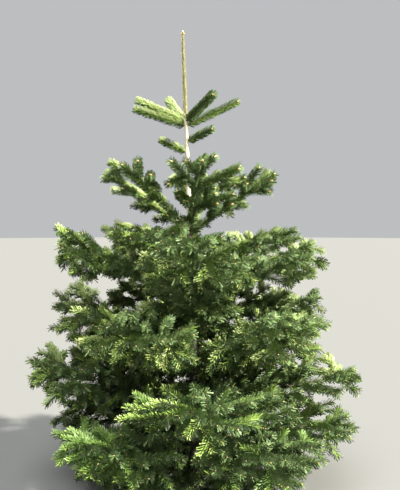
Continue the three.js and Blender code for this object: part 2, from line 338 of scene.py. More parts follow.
def tier_space(tier: Tier, level: Array) -> tuple[Array, Array]:
    """The layer that a tier keeps to: half way to the next tiers over and under it that reach so far out.

    Args:
        tier: The tier.
        level: Level distances from the trunk.

    Returns:
        The layer's top and bottom at each distance.
    """
    index = TIERS.index(tier)
    own_high, own_low = tier_heights(tier, level)
    top = np.full_like(level, np.inf)
    bottom = np.full_like(level, BOUGH.ground_clearance)
    for other in TIERS[:index]:
        reaches = level < other.reach * BOUGH.full_reach
        top = np.where(reaches, (tier_heights(other, level)[1] + own_high) / 2, top)
    for other in reversed(TIERS[index + 1 :]):
        reaches = level < other.reach * BOUGH.full_reach
        bottom = np.where(reaches, (tier_heights(other, level)[0] + own_low) / 2, bottom)
    return top, bottom


class BoughCurve:
    """The curve that a bough follows: u is the level distance from the trunk's middle."""

    def __init__(self, tier: Tier, index: int, seed: int) -> None:
        """Lays the bough out from its tier.

        Args:
            tier: The tier it belongs to.
            index: Its place in the tier.
            seed: The tier's seed.
        """
        count = len(tier.directions)
        turns = [2 * float(chance(seed, i, 1)) - 1 for i in range(count)]
        pairs = zip(tier.directions, turns)
        bearings = [float(degrees) + BOUGH.turn_jitter * turn for degrees, turn in pairs]
        before = bearings[(index + count - 1) % count] - (360 if index == 0 else 0)
        after = bearings[(index + 1) % count] + (360 if index == count - 1 else 0)
        bearing = math.radians(bearings[index])
        climbed = (index - (count - 1) / 2) * tier.climb + BOUGH.stagger * ((index % 2) - 0.5)
        self.tier = tier
        self.bearing = bearing
        self.height = tier.height + climbed
        self.reach = tier.reach * (1 + BOUGH.reach_jitter * (2 * float(chance(seed, index, 2)) - 1))
        lifted = tier.lifts[index] if tier.lifts else 0.0
        self.rise = tier.rise + lifted + BOUGH.rise_jitter * (2 * float(chance(seed, index, 3)) - 1)
        self.outward = np.array([math.cos(bearing), math.sin(bearing), 0.0])
        self.sideways = np.array([-math.sin(bearing), math.cos(bearing), 0.0])
        self.root = TRUNK.centre(self.height)
        widest = math.radians(BOUGH.widest_sector)
        self.left_limit = min(math.radians(after - bearings[index]) / 2, widest)
        self.right_limit = min(math.radians(bearings[index] - before) / 2, widest)

    def lift(self, u: Array | float) -> Array:
        """How far the bough has risen at u: its slope times u, and a little more or less with u squared."""
        return self.rise * u + self.tier.upturn * u * u / self.tier.reach

    def point(self, u: Array | float) -> Array:
        """Points on the bough at u."""
        u = np.asarray(u, float)
        return self.root + self.outward * u[..., None] + ZENITH * self.lift(u)[..., None]

    def tangent(self, u: Array | float) -> Array:
        """The bough's direction at u."""
        slope = self.rise + 2 * self.tier.upturn * np.asarray(u, float) / self.tier.reach
        return unit(self.outward + ZENITH * slope[..., None])

    def roofs(self, points: Array) -> NDArray[np.bool_]:
        """Whether points lie under the bough's roof, which comes down in a straight line towards its tip.

        Args:
            points: The points.

        Returns:
            A truth for each point.
        """
        away = points - self.root
        over = away[..., 2] - self.lift(away @ self.outward)
        share = np.hypot(away[..., 0], away[..., 1]) / self.tier.reach
        return over < self.tier.above * blend(SHOOT.roof_at_trunk, SHOOT.roof_at_tip, share)

    def owns(self, points: Array) -> NDArray[np.bool_]:
        """Whether points lie in this bough's own space: its sector round the trunk, and its tier's layer.

        Args:
            points: The points.

        Returns:
            A truth for each point.
        """
        away = points - self.root
        u = away @ self.outward
        v = away @ self.sideways
        level = np.hypot(u, v)
        sector = np.where(v > 0, self.left_limit, self.right_limit)
        beside = u * np.sin(sector) - np.abs(v) * np.cos(sector)
        over = away[..., 2] - self.lift(u)
        top, bottom = tier_space(self.tier, level)
        height = points[..., 2]
        return (
            (u > 0)
            & (level < self.tier.reach * BOUGH.full_reach)
            & (beside > BOUGH.clearance)
            & (over < self.tier.above)
            & (over > -self.tier.below)
            & (height < top - BOUGH.clearance)
            & (height > bottom + BOUGH.clearance)
        )


# Shoots of every order


@dataclass
class Shoots:
    """Many shoots at once, one row each: a root, a direction, a side direction, a length and a bend.

    bend is how far the tip stands off the straight line, as a share of the length, towards the upper side.
    ident seeds what branches off a shoot, and parent is the ident of what it grows from. spray tells the
    bough's side sprays apart, order counts from the bough's stem, and thickness is the radius at the root.
    """

    root: Array
    forward: Array
    across: Array
    length: Array
    bend: Array
    ident: Array
    parent: Array
    spray: Array
    order: Array
    thickness: Array

    def __len__(self) -> int:
        """How many shoots there are."""
        return len(self.length)

    @property
    def up(self) -> Array:
        """The upper side's direction of each shoot."""
        return np.cross(self.forward, self.across)

    def at(self, rows: Rows, along: Array) -> Array:
        """Points on shoots: straight ahead, and off to the upper side with the square of the way along."""
        off = self.bend[rows] * along**2 / self.length[rows]
        return self.root[rows] + self.forward[rows] * along[:, None] + self.up[rows] * off[:, None]

    def heading(self, rows: Rows, along: Array) -> Array:
        """Directions of shoots at a distance along them."""
        slope = 2 * self.bend[rows] * along / self.length[rows]
        return unit(self.forward[rows] + self.up[rows] * slope[:, None])

    def take(self, chosen: Array) -> "Shoots":
        """Only the chosen shoots."""
        return Shoots(**{name: value[chosen] for name, value in vars(self).items()})

    @staticmethod
    def joined(batches: list["Shoots"]) -> "Shoots":
        """Several batches as one."""
        names = vars(batches[0])
        return Shoots(**{name: np.concatenate([vars(batch)[name] for batch in batches]) for name in names})

    @staticmethod
    def single(root: Array, forward: Array, across: Array, **numbers: float) -> "Shoots":
        """One shoot that grows from no other.

        Args:
            root: Where it starts.
            forward: Its direction.
            across: Its side direction.
            **numbers: Its length, bend, ident and thickness.

        Returns:
            The one shoot, of order 0.
        """
        columns = {"parent": 0.0, "spray": 0.0, "order": 0.0, **numbers}
        rows = {name: np.array([float(value)]) for name, value in columns.items()}
        return Shoots(root=root[None, :], forward=forward[None, :], across=across[None, :], **rows)


@dataclass(frozen=True)
class ShootRule:
    """What all finer shoots share. Lengths and girths in metres.

    node_jitter is a share of a year. The roof over a bough is a share of its tier's height above. rise_kept
    is the share of its rise that a rising shoot keeps, taper the share of its girth that a parent has lost at
    its tip, and of_parent the most that a shoot's girth is of its parent's at the node.
    """

    node_jitter: float = 0.12
    length_jitter: tuple[float, float] = (0.84, 1.16)
    bend_range: tuple[float, float] = (0.2, 1.6)
    trims: tuple[float, ...] = (1.0, 0.85, 0.7, 0.55, 0.4)
    shortest: float = 0.045
    needle_overhang: float = 0.022
    rise_kept: float = 0.62
    roof_at_trunk: float = 1.4
    roof_at_tip: float = 0.35
    thinnest: float = 0.0012
    girth_per_length: float = 0.009
    taper: float = 0.6
    of_parent: float = 0.8


@dataclass(frozen=True)
class BranchRule:
    """How finer shoots leave the shoots before them. Lengths in metres, angles in degrees.

    Nodes stand some years' growth apart, counted back from the share after of a year short of the parent's
    tip, and about the first metres from its root stay bare. A side shoot is a share of what its parent has
    left beyond the node, and least more, up to most. It leaves at the spread angle, and roll turns it about
    the parent, up from its flat plane. within is how far out its tip may come, as a share of the tier's
    reach. key tells the rules' dealt numbers apart.
    """

    key: int
    years: float = 1.0
    after: float = 0.0
    first: float = 0.045
    share: float = 0.62
    least: float = 0.055
    most: float = 0.26
    spread: float = 50.0
    spread_jitter: float = 8.0
    roll_low: float = -16.0
    roll_high: float = 26.0
    within: float = BOUGH.full_reach


SHOOT = ShootRule()
LATERALS = BranchRule(key=1)
SECOND_LATERALS = BranchRule(key=2, share=0.55, least=0.045, most=0.13, spread=48.0)
BETWEEN_NODES = BranchRule(
    key=3, years=0.34, after=0.17, first=0.06, share=0.14, least=0.060, most=0.12, spread=56.0,
    roll_low=-40.0, roll_high=60.0,
)
RISERS = BranchRule(
    key=4, years=0.34, after=0.08, first=0.06, share=0.48, least=0.090, most=0.24, spread=44.0,
    roll_low=22.0, roll_high=66.0,
)
HANGERS = BranchRule(
    key=5, years=0.34, after=0.04, first=0.06, share=0.50, least=0.095, most=0.25,
    roll_low=-70.0, roll_high=-26.0,
)
FILLERS = BranchRule(
    key=6, years=0.34, after=0.15, share=0.30, least=0.065, most=0.12, spread=46.0,
    roll_low=-60.0, roll_high=60.0,
)
INNER_SHOOTS = BranchRule(
    key=7, years=0.30, after=0.22, first=0.035, share=0.20, least=0.065, most=0.13, spread=62.0,
    roll_low=-85.0, roll_high=85.0,
)
GAP_SHOOTS = BranchRule(
    key=8, years=0.26, after=0.10, first=0.035, share=0.42, least=0.085, most=0.20, spread=52.0,
    roll_low=-80.0, roll_high=80.0, within=0.90,
)
# The order of the parents and the rule that they branch by, one after another
ORDERS_OF_GROWTH = (
    (1, LATERALS), (0, RISERS), (0, HANGERS), (1, RISERS), (1, HANGERS), (0, BETWEEN_NODES),
    (1, BETWEEN_NODES), (2, SECOND_LATERALS), (2, FILLERS), (3, FILLERS), (0, INNER_SHOOTS),
    (1, INNER_SHOOTS), (1, GAP_SHOOTS), (2, GAP_SHOOTS),
)


def dealt_places(counts: Rows) -> tuple[Rows, Rows]:
    """Deals each row its count of items: gives each item's row, and its place in that row."""
    rows = np.repeat(np.arange(len(counts)), counts)
    return rows, np.arange(counts.sum()) - np.repeat(np.cumsum(counts) - counts, counts)


def branch_off(parents: Shoots, rule: BranchRule, curve: BoughCurve) -> Shoots:
    """Grows side shoots in pairs from the nodes of shoots, trimmed to the bough's own space.

    A side shoot's direction is its parent's times the spread angle's cosine plus the turned side direction
    times its sine. Its own plane leans back towards level.

    Args:
        parents: The shoots that branch.
        rule: How they do.
        curve: The bough, whose space the new shoots keep to.

    Returns:
        The side shoots that fit.
    """
    year = curve.tier.year
    counts = np.floor((parents.length - rule.first - rule.after * year) / (rule.years * year) + 1e-9)
    rows, step = dealt_places(np.maximum(counts, 0).astype(np.int64))
    rows, step = np.repeat(rows, 2), np.repeat(step + 1, 2)
    side = np.tile([-1.0, 1.0], len(step) // 2)
    seed, node = parents.ident[rows], 10.0 * step + side

    def luck(kind: int) -> Array:
        """A number from 0 to 1 for each side shoot."""
        return chance(seed, node, 10 * rule.key + kind)

    back = step * rule.years + rule.after + SHOOT.node_jitter * (luck(0) - 0.5)
    along = parents.length[rows] - back * year
    left = parents.length[rows] - along
    length = np.minimum(rule.share * left + rule.least, rule.most) * blend(*SHOOT.length_jitter, luck(1))
    heading = parents.heading(rows, along)
    across = parents.across[rows]
    upper = np.cross(heading, across)
    spread = np.radians(rule.spread + rule.spread_jitter * (2 * luck(2) - 1))[:, None]
    roll = np.radians(blend(rule.roll_low, rule.roll_high, luck(3)))[:, None]
    sideways = across * side[:, None] * np.cos(roll) + upper * np.sin(roll)
    forward = heading * np.cos(spread) + sideways * np.sin(spread)
    forward[:, 2] *= np.where(forward[:, 2] > 0, SHOOT.rise_kept, 1.0)
    forward = unit(forward)
    own_across = unit(np.cross(upper + ZENITH, forward))
    levelness = np.sqrt(np.maximum(1 - forward[:, 2] ** 2, 0))
    bend = curve.tier.turn_up * blend(*SHOOT.bend_range, luck(4)) * levelness
    root = parents.at(rows, along)
    upward = np.cross(forward, own_across)
    fitted = np.zeros(len(rows))
    for trim in SHOOT.trims:
        trial = length * trim
        tip = root + forward * trial[:, None] + upward * (bend * trial)[:, None]
        reached = tip + forward * SHOOT.needle_overhang
        level = np.linalg.norm((reached - curve.root)[:, :2], axis=1)
        fits = (fitted == 0) & (trial > SHOOT.shortest) & (level < rule.within * curve.tier.reach)
        fits &= curve.owns(reached) & curve.roofs(reached)
        fitted = np.where(fits, trial, fitted)
    parent_girth = parents.thickness[rows] * (1 - SHOOT.taper * along / parents.length[rows])
    girth = SHOOT.thinnest + SHOOT.girth_per_length * fitted
    grown = Shoots(
        root=root,
        forward=forward,
        across=own_across,
        length=np.maximum(fitted, SHOOT.shortest),
        bend=bend,
        ident=1000 * luck(9) + rule.key,
        parent=seed,
        spray=parents.spray[rows],
        order=parents.order[rows] + 1,
        thickness=np.minimum(girth, SHOOT.of_parent * parent_girth),
    )
    return grown.take(fitted > 0)


class Room:
    """The places that shoots fill already, so that new ones come only where there is light for them.

    probes and fills are shares of a shoot's length: where a new shoot is tested, and which places it then
    fills. most is how many places there can be.
    """

    probes = (0.55, 0.8, 1.0)
    fills = (0.3, 0.5, 0.7, 0.85, 1.0)
    most = 60000

    def __init__(self) -> None:
        """Starts empty."""
        self.points = np.empty((self.most, 3))
        self.owners = np.empty(self.most)
        self.count = 0

    def fill(self, shoots: Shoots) -> None:
        """Marks the places along shoots.

        Args:
            shoots: The shoots.
        """
        rows = np.arange(len(shoots))
        for share in self.fills:
            until = self.count + len(shoots)
            self.points[self.count : until] = shoots.at(rows, shoots.length * share)
            self.owners[self.count : until] = shoots.ident
            self.count = until

    def admit(self, shoots: Shoots, spacing: float) -> Shoots:
        """Takes the shoots that keep their distance from all but their parent, the longest first.

        Args:
            shoots: The shoots that would grow.
            spacing: The least distance from any other shoot.

        Returns:
            Those that do grow.
        """
        rows = np.arange(len(shoots))
        probes = np.stack([shoots.at(rows, shoots.length * share) for share in self.probes], axis=1)
        admitted = []
        for row in np.argsort(-shoots.length, kind="stable"):
            points, owners = self.points[: self.count], self.owners[: self.count]
            near = np.abs(points - probes[row, 1]).max(axis=1) < spacing + 0.5 * shoots.length[row]
            near &= owners != shoots.parent[row]
            gaps = np.linalg.norm(points[near][None] - probes[row][:, None], axis=2)
            if (gaps > spacing).all():
                admitted.append(row)
                self.fill(shoots.take(np.array([row])))
        return shoots.take(np.array(admitted, dtype=np.int64))


class FoliageMass:
    """One bough's mass of foliage, from its stem to its last shoots."""

    def __init__(self, curve: BoughCurve, seed: int, index: int, room: Room) -> None:
        """Grows the stem and the side sprays, whose places are filled before any finer shoot's.

        Args:
            curve: The bough's curve.
            seed: The bough's seed.
            index: The bough's place in its tier.
            room: The places that shoots fill already.
        """
        self.curve = curve
        self.seed = seed
        self.index = index
        self.room = room
        self.shoots = self.stem()
        if curve.tier.growth is Growth.FAN:
            self.shoots = Shoots.joined([self.shoots, self.sprays()])
        room.fill(self.shoots)

    def ramify(self, order: int, rule: BranchRule) -> None:
        """Lets shoots branch where there is room.

        Args:
            order: The order of the shoots that branch.
            rule: How they do.
        """
        if self.curve.tier.growth is Growth.FAN:
            parents = self.shoots.take(self.shoots.order == order)
            grown = self.room.admit(branch_off(parents, rule, self.curve), self.curve.tier.spacing)
            self.shoots = Shoots.joined([self.shoots, grown])

    def stem(self) -> Shoots:
        """The bough's own stem as one shoot from the trunk's middle to its tip.

        Returns:
            The one shoot, of order 0.
        """
        curve = self.curve
        forward = curve.tangent(0.0)
        level_share = float(forward @ curve.outward)
        return Shoots.single(
            curve.root,
            forward,
            curve.sideways,
            length=curve.reach / level_share - SHOOT.needle_overhang,
            bend=curve.tier.upturn * level_share**2 * curve.reach / curve.tier.reach,
            ident=self.seed,
            thickness=curve.tier.thickness,
        )

    def sprays(self) -> Shoots:
        """The side sprays' stems, each where the solid has its toothed blade and as long as that is.

        Returns:
            One shoot of order 1 for each spray.
        """
        curve = self.curve
        limb = curve.tier.limb_share * curve.reach
        first = max(FAN.first_node, limb + FAN.stem_lead)
        last = curve.reach - FAN.end_shoot
        nodes = max(1, round((last - first) / FAN.node_step))
        found = []
        for n in range(nodes + 1):
            for side in (-1, 1):
                u = blend(first, last, n / nodes) + side * FAN.offset
                lucks = [float(chance(self.seed, 10 * n + side, k)) for k in range(8)]
                alternate = (n + (side + 1) // 2) % 2
                length = min(FAN.side_share * (curve.reach - u) + FAN.side_least, FAN.side_most)
                length *= blend(*FAN.length_jitter, lucks[4])
                spread = math.radians(FAN.spread + FAN.spread_jitter * (2 * lucks[5] - 1))
                pitch = math.radians(blend(FAN.pitch_low, FAN.pitch_high, (lucks[6] + alternate) / 2))
                roll = math.radians(FAN.roll * (2 * lucks[7] - 1))
                fitted = self.fit_spray(u, side, length, (spread, pitch, roll))
                if fitted:
                    found.append((*fitted, 100.0 * self.seed + 10 * n + side, 10.0 * n + side))
        roots, forwards, acrosses, lengths, idents, numbers = (np.array(column) for column in zip(*found))
        return Shoots(
            root=roots,
            forward=forwards,
            across=acrosses,
            length=lengths,
            bend=self.curve.tier.turn_up * blend(*FAN.bend_range, chance(idents, 1, 1)),
            ident=idents,
            parent=np.full(len(idents), float(self.seed)),
            spray=numbers,
            order=np.ones(len(lengths)),
            thickness=FAN.thinnest + FAN.girth_per_length * lengths,
        )

    def fit_spray(
        self, u: float, side: int, length: float, turn: tuple[float, float, float]
    ) -> tuple[Array, Array, Array, float] | None:
        """The largest spray that stays in the bough's own space, turned more level where that helps.

        Args:
            u: Where it leaves the bough.
            side: 1 for the left side, -1 for the right.
            length: Its full length.
            turn: Its spread, pitch and roll in radians.

        Returns:
            Its root, direction, side direction and length, or nothing if none fits.
        """
        spread, pitch, roll = turn
        root = self.curve.point(u)
        for trim in FAN.trims:
            for level in FAN.levelling:
                forward, across = self.spray_frame(u, side, spread, pitch * level, roll * level)
                if self.curve.owns(spray_outline(root, forward, across, length * trim)).all():
                    return root, forward, across, length * trim
        return None

    def spray_frame(
        self, u: float, side: int, spread: float, pitch: float, roll: float
    ) -> tuple[Array, Array]:
        """Which way a side spray grows from its bough, and how its plane is turned about that way.

        Args:
            u: Where it leaves the bough.
            side: 1 for the left side, -1 for the right.
            spread: Its angle to the bough in radians.
            pitch: How far it is turned up.
            roll: How far its plane is turned from level.

        Returns:
            Its direction and its side direction.
        """
        forward = self.curve.tangent(u) * math.cos(spread) + self.curve.sideways * side * math.sin(spread)
        forward = forward * math.cos(pitch)
        forward[2] += math.sin(pitch)
        forward = unit(forward)
        level = unit(np.cross(ZENITH, forward))
        across = level * math.cos(roll) + np.cross(forward, level) * math.sin(roll)
        return forward, across


def spray_outline(root: Array, forward: Array, across: Array, length: float) -> Array:
    """The points that a spray reaches: its tip, and on each side its teeth's tips and the notches between.

    Args:
        root: Its root.
        forward: Its direction.
        across: Its side direction.
        length: Its length.

    Returns:
        The points, one row each.
    """
    up = np.cross(forward, across)
    half_width = SPRAY.half_width + SPRAY.widening * max(0.0, length - SPRAY.plain_length)
    pitch = length / (SPRAY.teeth + SPRAY.sweep)
    points = [root + forward * length]
    for side in (1, -1):
        for t in range(SPRAY.teeth):
            tip = (t + 1 + SPRAY.sweep) * pitch
            width = half_width * outline_share(tip / length, length > SPRAY.plain_length)
            lift = SPRAY.tooth_lift[(t + (1 if side > 0 else 0)) % 2]
            points.append(root + forward * tip + across * side * width + up * lift * width)
            points.append(root + forward * (t + 1) * pitch + across * side * width * SPRAY.notch)
    return np.array(points)


def outline_share(share: float, is_kite: bool) -> float:
    """How wide a spray stands, as a share of its half width.

    Args:
        share: How far along it, as a share of its length.
        is_kite: Whether it is a kite or an even band.

    Returns:
        The share of the half width.
    """
    if not is_kite:
        return SPRAY.band_tip_width if share > SPRAY.band_end else 1.0
    if share < SPRAY.widest:
        return blend(SPRAY.root_width, 1.0, share / SPRAY.widest)
    return blend(1.0, SPRAY.tip_width, (share - SPRAY.widest) / (1 - SPRAY.widest))


# Meshes from arrays


@dataclass
class Skin:
    """Points, triangles and a finish number for each triangle."""

    points: Array
    triangles: Rows
    finish: Rows

    @staticmethod
    def plain(points: Array, triangles: Rows) -> "Skin":
        """A skin with finish 0 all over."""
        return Skin(points, triangles, np.zeros(len(triangles), np.int64))

    @staticmethod
    def joined(skins: list["Skin"]) -> "Skin":
        """Several skins as one.

        Args:
            skins: The skins.

        Returns:
            One skin with all their points and triangles.
        """
        starts = np.cumsum([0] + [len(skin.points) for skin in skins[:-1]])
        return Skin(
            points=np.concatenate([skin.points for skin in skins]),
            triangles=np.concatenate([skin.triangles + start for skin, start in zip(skins, starts)]),
            finish=np.concatenate([skin.finish for skin in skins]),
        )


def make_piece(name: str, skin: Skin, finishes: list[bpy.types.Material], smooth: bool) -> bpy.types.Object:
    """Puts a skin into a mesh object at the origin.

    Args:
        name: The piece's name.
        skin: Its points, triangles and finish numbers.
        finishes: The materials that the finish numbers count.
        smooth: Whether it is shaded smooth.

    Returns:
        The new object.
    """
    mesh = bpy.data.meshes.new(name)
    count = len(skin.triangles)
    mesh.vertices.add(len(skin.points))
    mesh.vertices.foreach_set("co", skin.points.astype(np.float32).ravel())
    mesh.loops.add(3 * count)
    mesh.loops.foreach_set("vertex_index", skin.triangles.astype(np.int32).ravel())
    mesh.polygons.add(count)
    mesh.polygons.foreach_set("loop_start", np.arange(0, 3 * count, 3, dtype=np.int32))
    mesh.polygons.foreach_set("material_index", skin.finish.astype(np.int32))
    mesh.polygons.foreach_set("use_smooth", np.full(count, smooth))
    for finish in finishes:
        mesh.materials.append(finish)
    mesh.update(calc_edges=True)
    mesh.validate()
    piece = bpy.data.objects.new(name, mesh)
    bpy.context.scene.collection.objects.link(piece)
    LOG.info("%s: %d triangles", name, count)
    return piece


def repeated(pattern: Rows, copies: int, points_each: int) -> Rows:
    """The same pattern of triangles for each of many shapes, numbered one shape after another."""
    return (pattern[None] + points_each * np.arange(copies)[:, None, None]).reshape(-1, 3)


def tube_triangles(rings: int, sides: int) -> Rows:
    """The triangles of one closed tube: bands between its rings, and a fan to a pole at either end.

    Points are numbered ring by ring, then the pole at the root and the pole at the tip.

    Args:
        rings: How many rings it has.
        sides: How many points each ring has.

    Returns:
        The triangles, facing outward.
    """
    ring, side = np.meshgrid(np.arange(rings - 1), np.arange(sides), indexing="ij")
    a = (ring * sides + side).ravel()
    b = (ring * sides + (side + 1) % sides).ravel()
    c, d = a + sides, b + sides
    root_pole, tip_pole = rings * sides, rings * sides + 1
    around = np.arange(sides)
    following = (around + 1) % sides
    last = (rings - 1) * sides
    root_cap = np.stack([np.full(sides, root_pole), following, around], axis=1)
    tip_cap = np.stack([np.full(sides, tip_pole), last + around, last + following], axis=1)
    return np.concatenate([np.stack([a, b, d], axis=1), np.stack([a, d, c], axis=1), root_cap, tip_cap])


def many_tubes(centres: Array, across: Array, up: Array, radii: Array, tip: Array) -> Skin:
    """Many closed tubes at once, all with the same number of rings and sides.

    A point stands off its ring's centre by the radius, along across times the angle's cosine plus up times
    its sine. The root's pole is the first ring's centre.

    Args:
        centres: Ring centres from root to tip, as (tube, ring, xyz).
        across: Directions across, as (tube, ring, xyz).
        up: Directions square to them, as (tube, ring, xyz).
        radii: Radii, as (tube, ring, side).
        tip: How far each tube's tip pole stands out past its last ring.

    Returns:
        All the tubes as one skin with finish 0.
    """
    tubes, rings, sides = radii.shape
    angle = 2 * np.pi * np.arange(sides) / sides
    cosine, sine = np.cos(angle)[:, None], np.sin(angle)[:, None]
    spokes = across[:, :, None, :] * cosine + up[:, :, None, :] * sine
    shell = (centres[:, :, None, :] + spokes * radii[..., None]).reshape(tubes, rings * sides, 3)
    last = centres[:, -1] + np.cross(across[:, -1], up[:, -1]) * tip[:, None]
    block = np.concatenate([shell, centres[:, :1], last[:, None]], axis=1)
    triangles = repeated(tube_triangles(rings, sides), tubes, rings * sides + 2)
    return Skin.plain(block.reshape(-1, 3), triangles)


def one_tube(centres: Array, across: Array, up: Array, radii: Array, tip: float = 0.0) -> Skin:
    """One closed tube, with its own radius at every point: many_tubes for a single one."""
    return many_tubes(centres[None], across[None], up[None], radii[None], np.array([tip]))


# Needles, twigs and buds on shoots


class Tone(IntEnum):
    """The greens that sprays are dealt, from fresh to shaded with painted light and painted shade in them,
    the pale underside and the leader's.
    """

    FRESH = 0
    BRIGHT = 1
    MIDDLE = 2
    DEEP = 3
    SHADED = 4
    UNDERSIDE = 5
    LEADER = 6


@dataclass(frozen=True)
class NeedleRule:
    """How needles stand on a shoot. Lengths in metres, angles in degrees, most other numbers shares.

    Needles stand to both sides of the shoot's upper side, up to the angle around, each turn_step, the golden
    share, of the way on from the last. Those on top are shorter and lean further forward, and all lean more
    within near_tip of the tip. At a year's ends they are swell_least as long as in its middle, and they lose
    tip_shortening towards the tip. A needle's upper face looks the share outward of the way from up to
    straight off the shoot. root_width and tip_width are shares of its width. It is rooted at root_depth of
    the wood's radius, which loses wood_taper towards the tip, and the shoot's first bare_foot radii are bare.
    kept is the share left at each of the ages, in years. In the shade a shoot has inner_density of the
    needles, each inner_width times as wide. A needle on the upper side is painted lit_step tones brighter,
    painted light, and one below unlit_step, painted shade, with light_jitter blurring where one turns into
    the other. Past tip_paleness of the way through near_tip it is one brighter still, as young tips are
    paler.
    """

    around: float = 160.0
    turn_step: float = 0.381966
    turn_jitter: float = 0.08
    lean_top: float = 46.0
    lean_flank: float = 53.0
    lean_jitter: float = 6.0
    lean_at_tip: float = 4.0
    near_tip: float = 0.022
    length_top: float = 0.0320
    length_flank: float = 0.0335
    flank_power: float = 0.8
    length_jitter: tuple[float, float] = (0.88, 1.12)
    width_jitter: tuple[float, float] = (0.85, 1.15)
    swell_least: float = 0.86
    year_margin: float = 0.02
    root_width: float = 0.62
    tip_width: float = 0.86
    tip_shortening: float = 0.0
    twist: float = 24.0
    outward: float = 0.65
    roll: float = 30.0
    root_depth: float = 0.5
    wood_taper: float = 0.7
    bare_foot: float = 1.5
    ages: tuple[float, ...] = (0.0, 1.0, 2.0, 3.0, 5.0, 7.0)
    kept: tuple[float, ...] = (1.0, 1.0, 0.9, 0.75, 0.5, 0.25)
    inner_density: float = 0.45
    inner_width: float = 1.8
    lit_step: int = 1
    unlit_step: int = -2
    light_jitter: float = 0.30
    tip_paleness: float = 0.35


PLAIN_NEEDLES = NeedleRule()
LEADER_NEEDLES = NeedleRule(
    around=180.0, lean_top=30.0, lean_flank=30.0, lean_jitter=4.0,
    length_top=0.023, length_flank=0.023, tip_shortening=0.25, roll=8.0,
)
# The four faces of a needle with the points root left, root right, tip left, tip right: two above, two below
NEEDLE_FACES = np.array([[0, 1, 3], [0, 3, 2], [0, 2, 1], [1, 2, 3]])
# Where on its length a shoot's light is judged
LIGHT_JUDGED_AT = 0.7
# Shares of the crown's radius: all shade up to the first, full light past the second
SHADE_AND_LIGHT = (0.25, 0.7)


def needle_skin(
    shoots: Shoots, rule: NeedleRule, density: float, width: float, year: float, tones: Array
) -> Skin:
    """Needles on shoots, each a closed blunt blade: a root edge, and a wider tip edge that is twisted.

    Along a shoot they stand at even steps. Older wood keeps fewer.

    Args:
        shoots: The shoots to clothe.
        rule: How their needles stand.
        density: How many needles a metre of young shoot has.
        width: How wide a needle is.
        year: The length of a year's growth.
        tones: A tone for each shoot.

    Returns:
        All the needles as one skin, whose finish numbers are tones.
    """
    light = exposure(shoots)
    counts = np.ceil(density * blend(rule.inner_density, 1.0, light) * shoots.length).astype(np.int64)
    rows, place = dealt_places(counts)
    seed = shoots.ident[rows]

    def luck(kind: int) -> Array:
        """A number from 0 to 1 for each needle."""
        return chance(seed, place, 100 + kind)

    length = shoots.length[rows]
    along = (place + luck(0)) / counts[rows] * length
    age = (length - along) / year
    wood = shoots.thickness[rows] * (1 - rule.wood_taper * along / length)
    clothed = luck(1) < np.interp(age, rule.ages, rule.kept)
    clothed &= along > rule.bare_foot * shoots.thickness[rows]
    rows, place, seed, length, along, age, wood = (
        values[clothed] for values in (rows, place, seed, length, along, age, wood)
    )
    turn = (place * rule.turn_step + rule.turn_jitter * luck(2)) % 1.0
    angle = np.radians(rule.around) * (2 * turn - 1)
    flank = np.abs(2 * turn - 1)
    near_tip = np.clip(1 - (length - along) / rule.near_tip, 0, 1)
    lean = blend(rule.lean_top, rule.lean_flank, flank) + rule.lean_jitter * (2 * luck(3) - 1)
    lean = np.radians(lean - rule.lean_at_tip * near_tip)[:, None]
    within_year = np.clip(1 - np.mod(age, 1.0), rule.year_margin, 1 - rule.year_margin)
    swell = blend(rule.swell_least, 1.0, np.sqrt(np.clip(np.sin(np.pi * within_year), 0, 1)))
    size = blend(rule.length_top, rule.length_flank, flank**rule.flank_power)
    size = size * blend(*rule.length_jitter, luck(4)) * swell
    size *= 1 - rule.tip_shortening * along / length
    heading = shoots.heading(rows, along)
    across = shoots.across[rows]
    up = np.cross(heading, across)
    radial = up * np.cos(angle)[:, None] + across * np.sin(angle)[:, None]
    way = heading * np.cos(lean) + radial * np.sin(lean)
    root = shoots.at(rows, along) + radial * (rule.root_depth * wood)[:, None]
    facing = blend(up, radial, rule.outward)
    upper = unit(facing - way * np.sum(facing * way, axis=1, keepdims=True))
    beside = np.cross(way, upper)
    roll = np.radians(rule.roll * (2 * luck(5) - 1))[:, None]
    wide = beside * np.cos(roll) + upper * np.sin(roll)
    high = np.cross(wide, way)
    widening = blend(rule.inner_width, 1.0, light[rows])
    half = (0.5 * width * blend(*rule.width_jitter, luck(6)) * widening)[:, None]
    tip = root + way * size[:, None]
    twist = math.radians(rule.twist)
    root_edge = wide * half * rule.root_width
    tip_edge = (wide * math.cos(twist) + high * math.sin(twist)) * half * rule.tip_width
    points = np.stack([root - root_edge, root + root_edge, tip - tip_edge, tip + tip_edge], axis=1)
    tone = tones[rows].astype(np.int64)
    # Painted light and shade: needles that look up are dealt lighter greens and those below darker; young
    # tips are also paler
    looks_up = radial[:, 2] + rule.light_jitter * (luck(7) - 0.5) > 0.0
    painted_light_and_pale_tip = np.where(looks_up, rule.lit_step, rule.unlit_step) + (near_tip > rule.tip_paleness)
    tone = np.where(tone < Tone.UNDERSIDE, np.clip(tone - painted_light_and_pale_tip, Tone.FRESH, Tone.SHADED), tone)
    under = np.where(tone == Tone.LEADER, Tone.LEADER, Tone.UNDERSIDE)
    finish = np.stack([tone, tone, under, under], axis=1).ravel()
    return Skin(points.reshape(-1, 3), repeated(NEEDLE_FACES, len(rows), 4), finish)


def exposure(shoots: Shoots) -> Array:
    """How much light shoots get: 1 in the crown's outer shell, and down to 0 near the trunk.

    Shoots in the shade keep fewer needles, and those are broader.

    Args:
        shoots: The shoots.

    Returns:
        The light of each shoot.
    """
    middle = shoots.at(np.arange(len(shoots)), LIGHT_JUDGED_AT * shoots.length)
    heights = [tier.height + (tier.rise + tier.upturn) * tier.reach for tier in reversed(TIERS)]
    crown = np.interp(middle[:, 2], heights, [tier.reach for tier in reversed(TIERS)])
    share = np.linalg.norm(middle[:, :2] - TRUNK.centre(middle[:, 2])[:, :2], axis=1) / crown
    return np.interp(share, SHADE_AND_LIGHT, (0.0, 1.0))


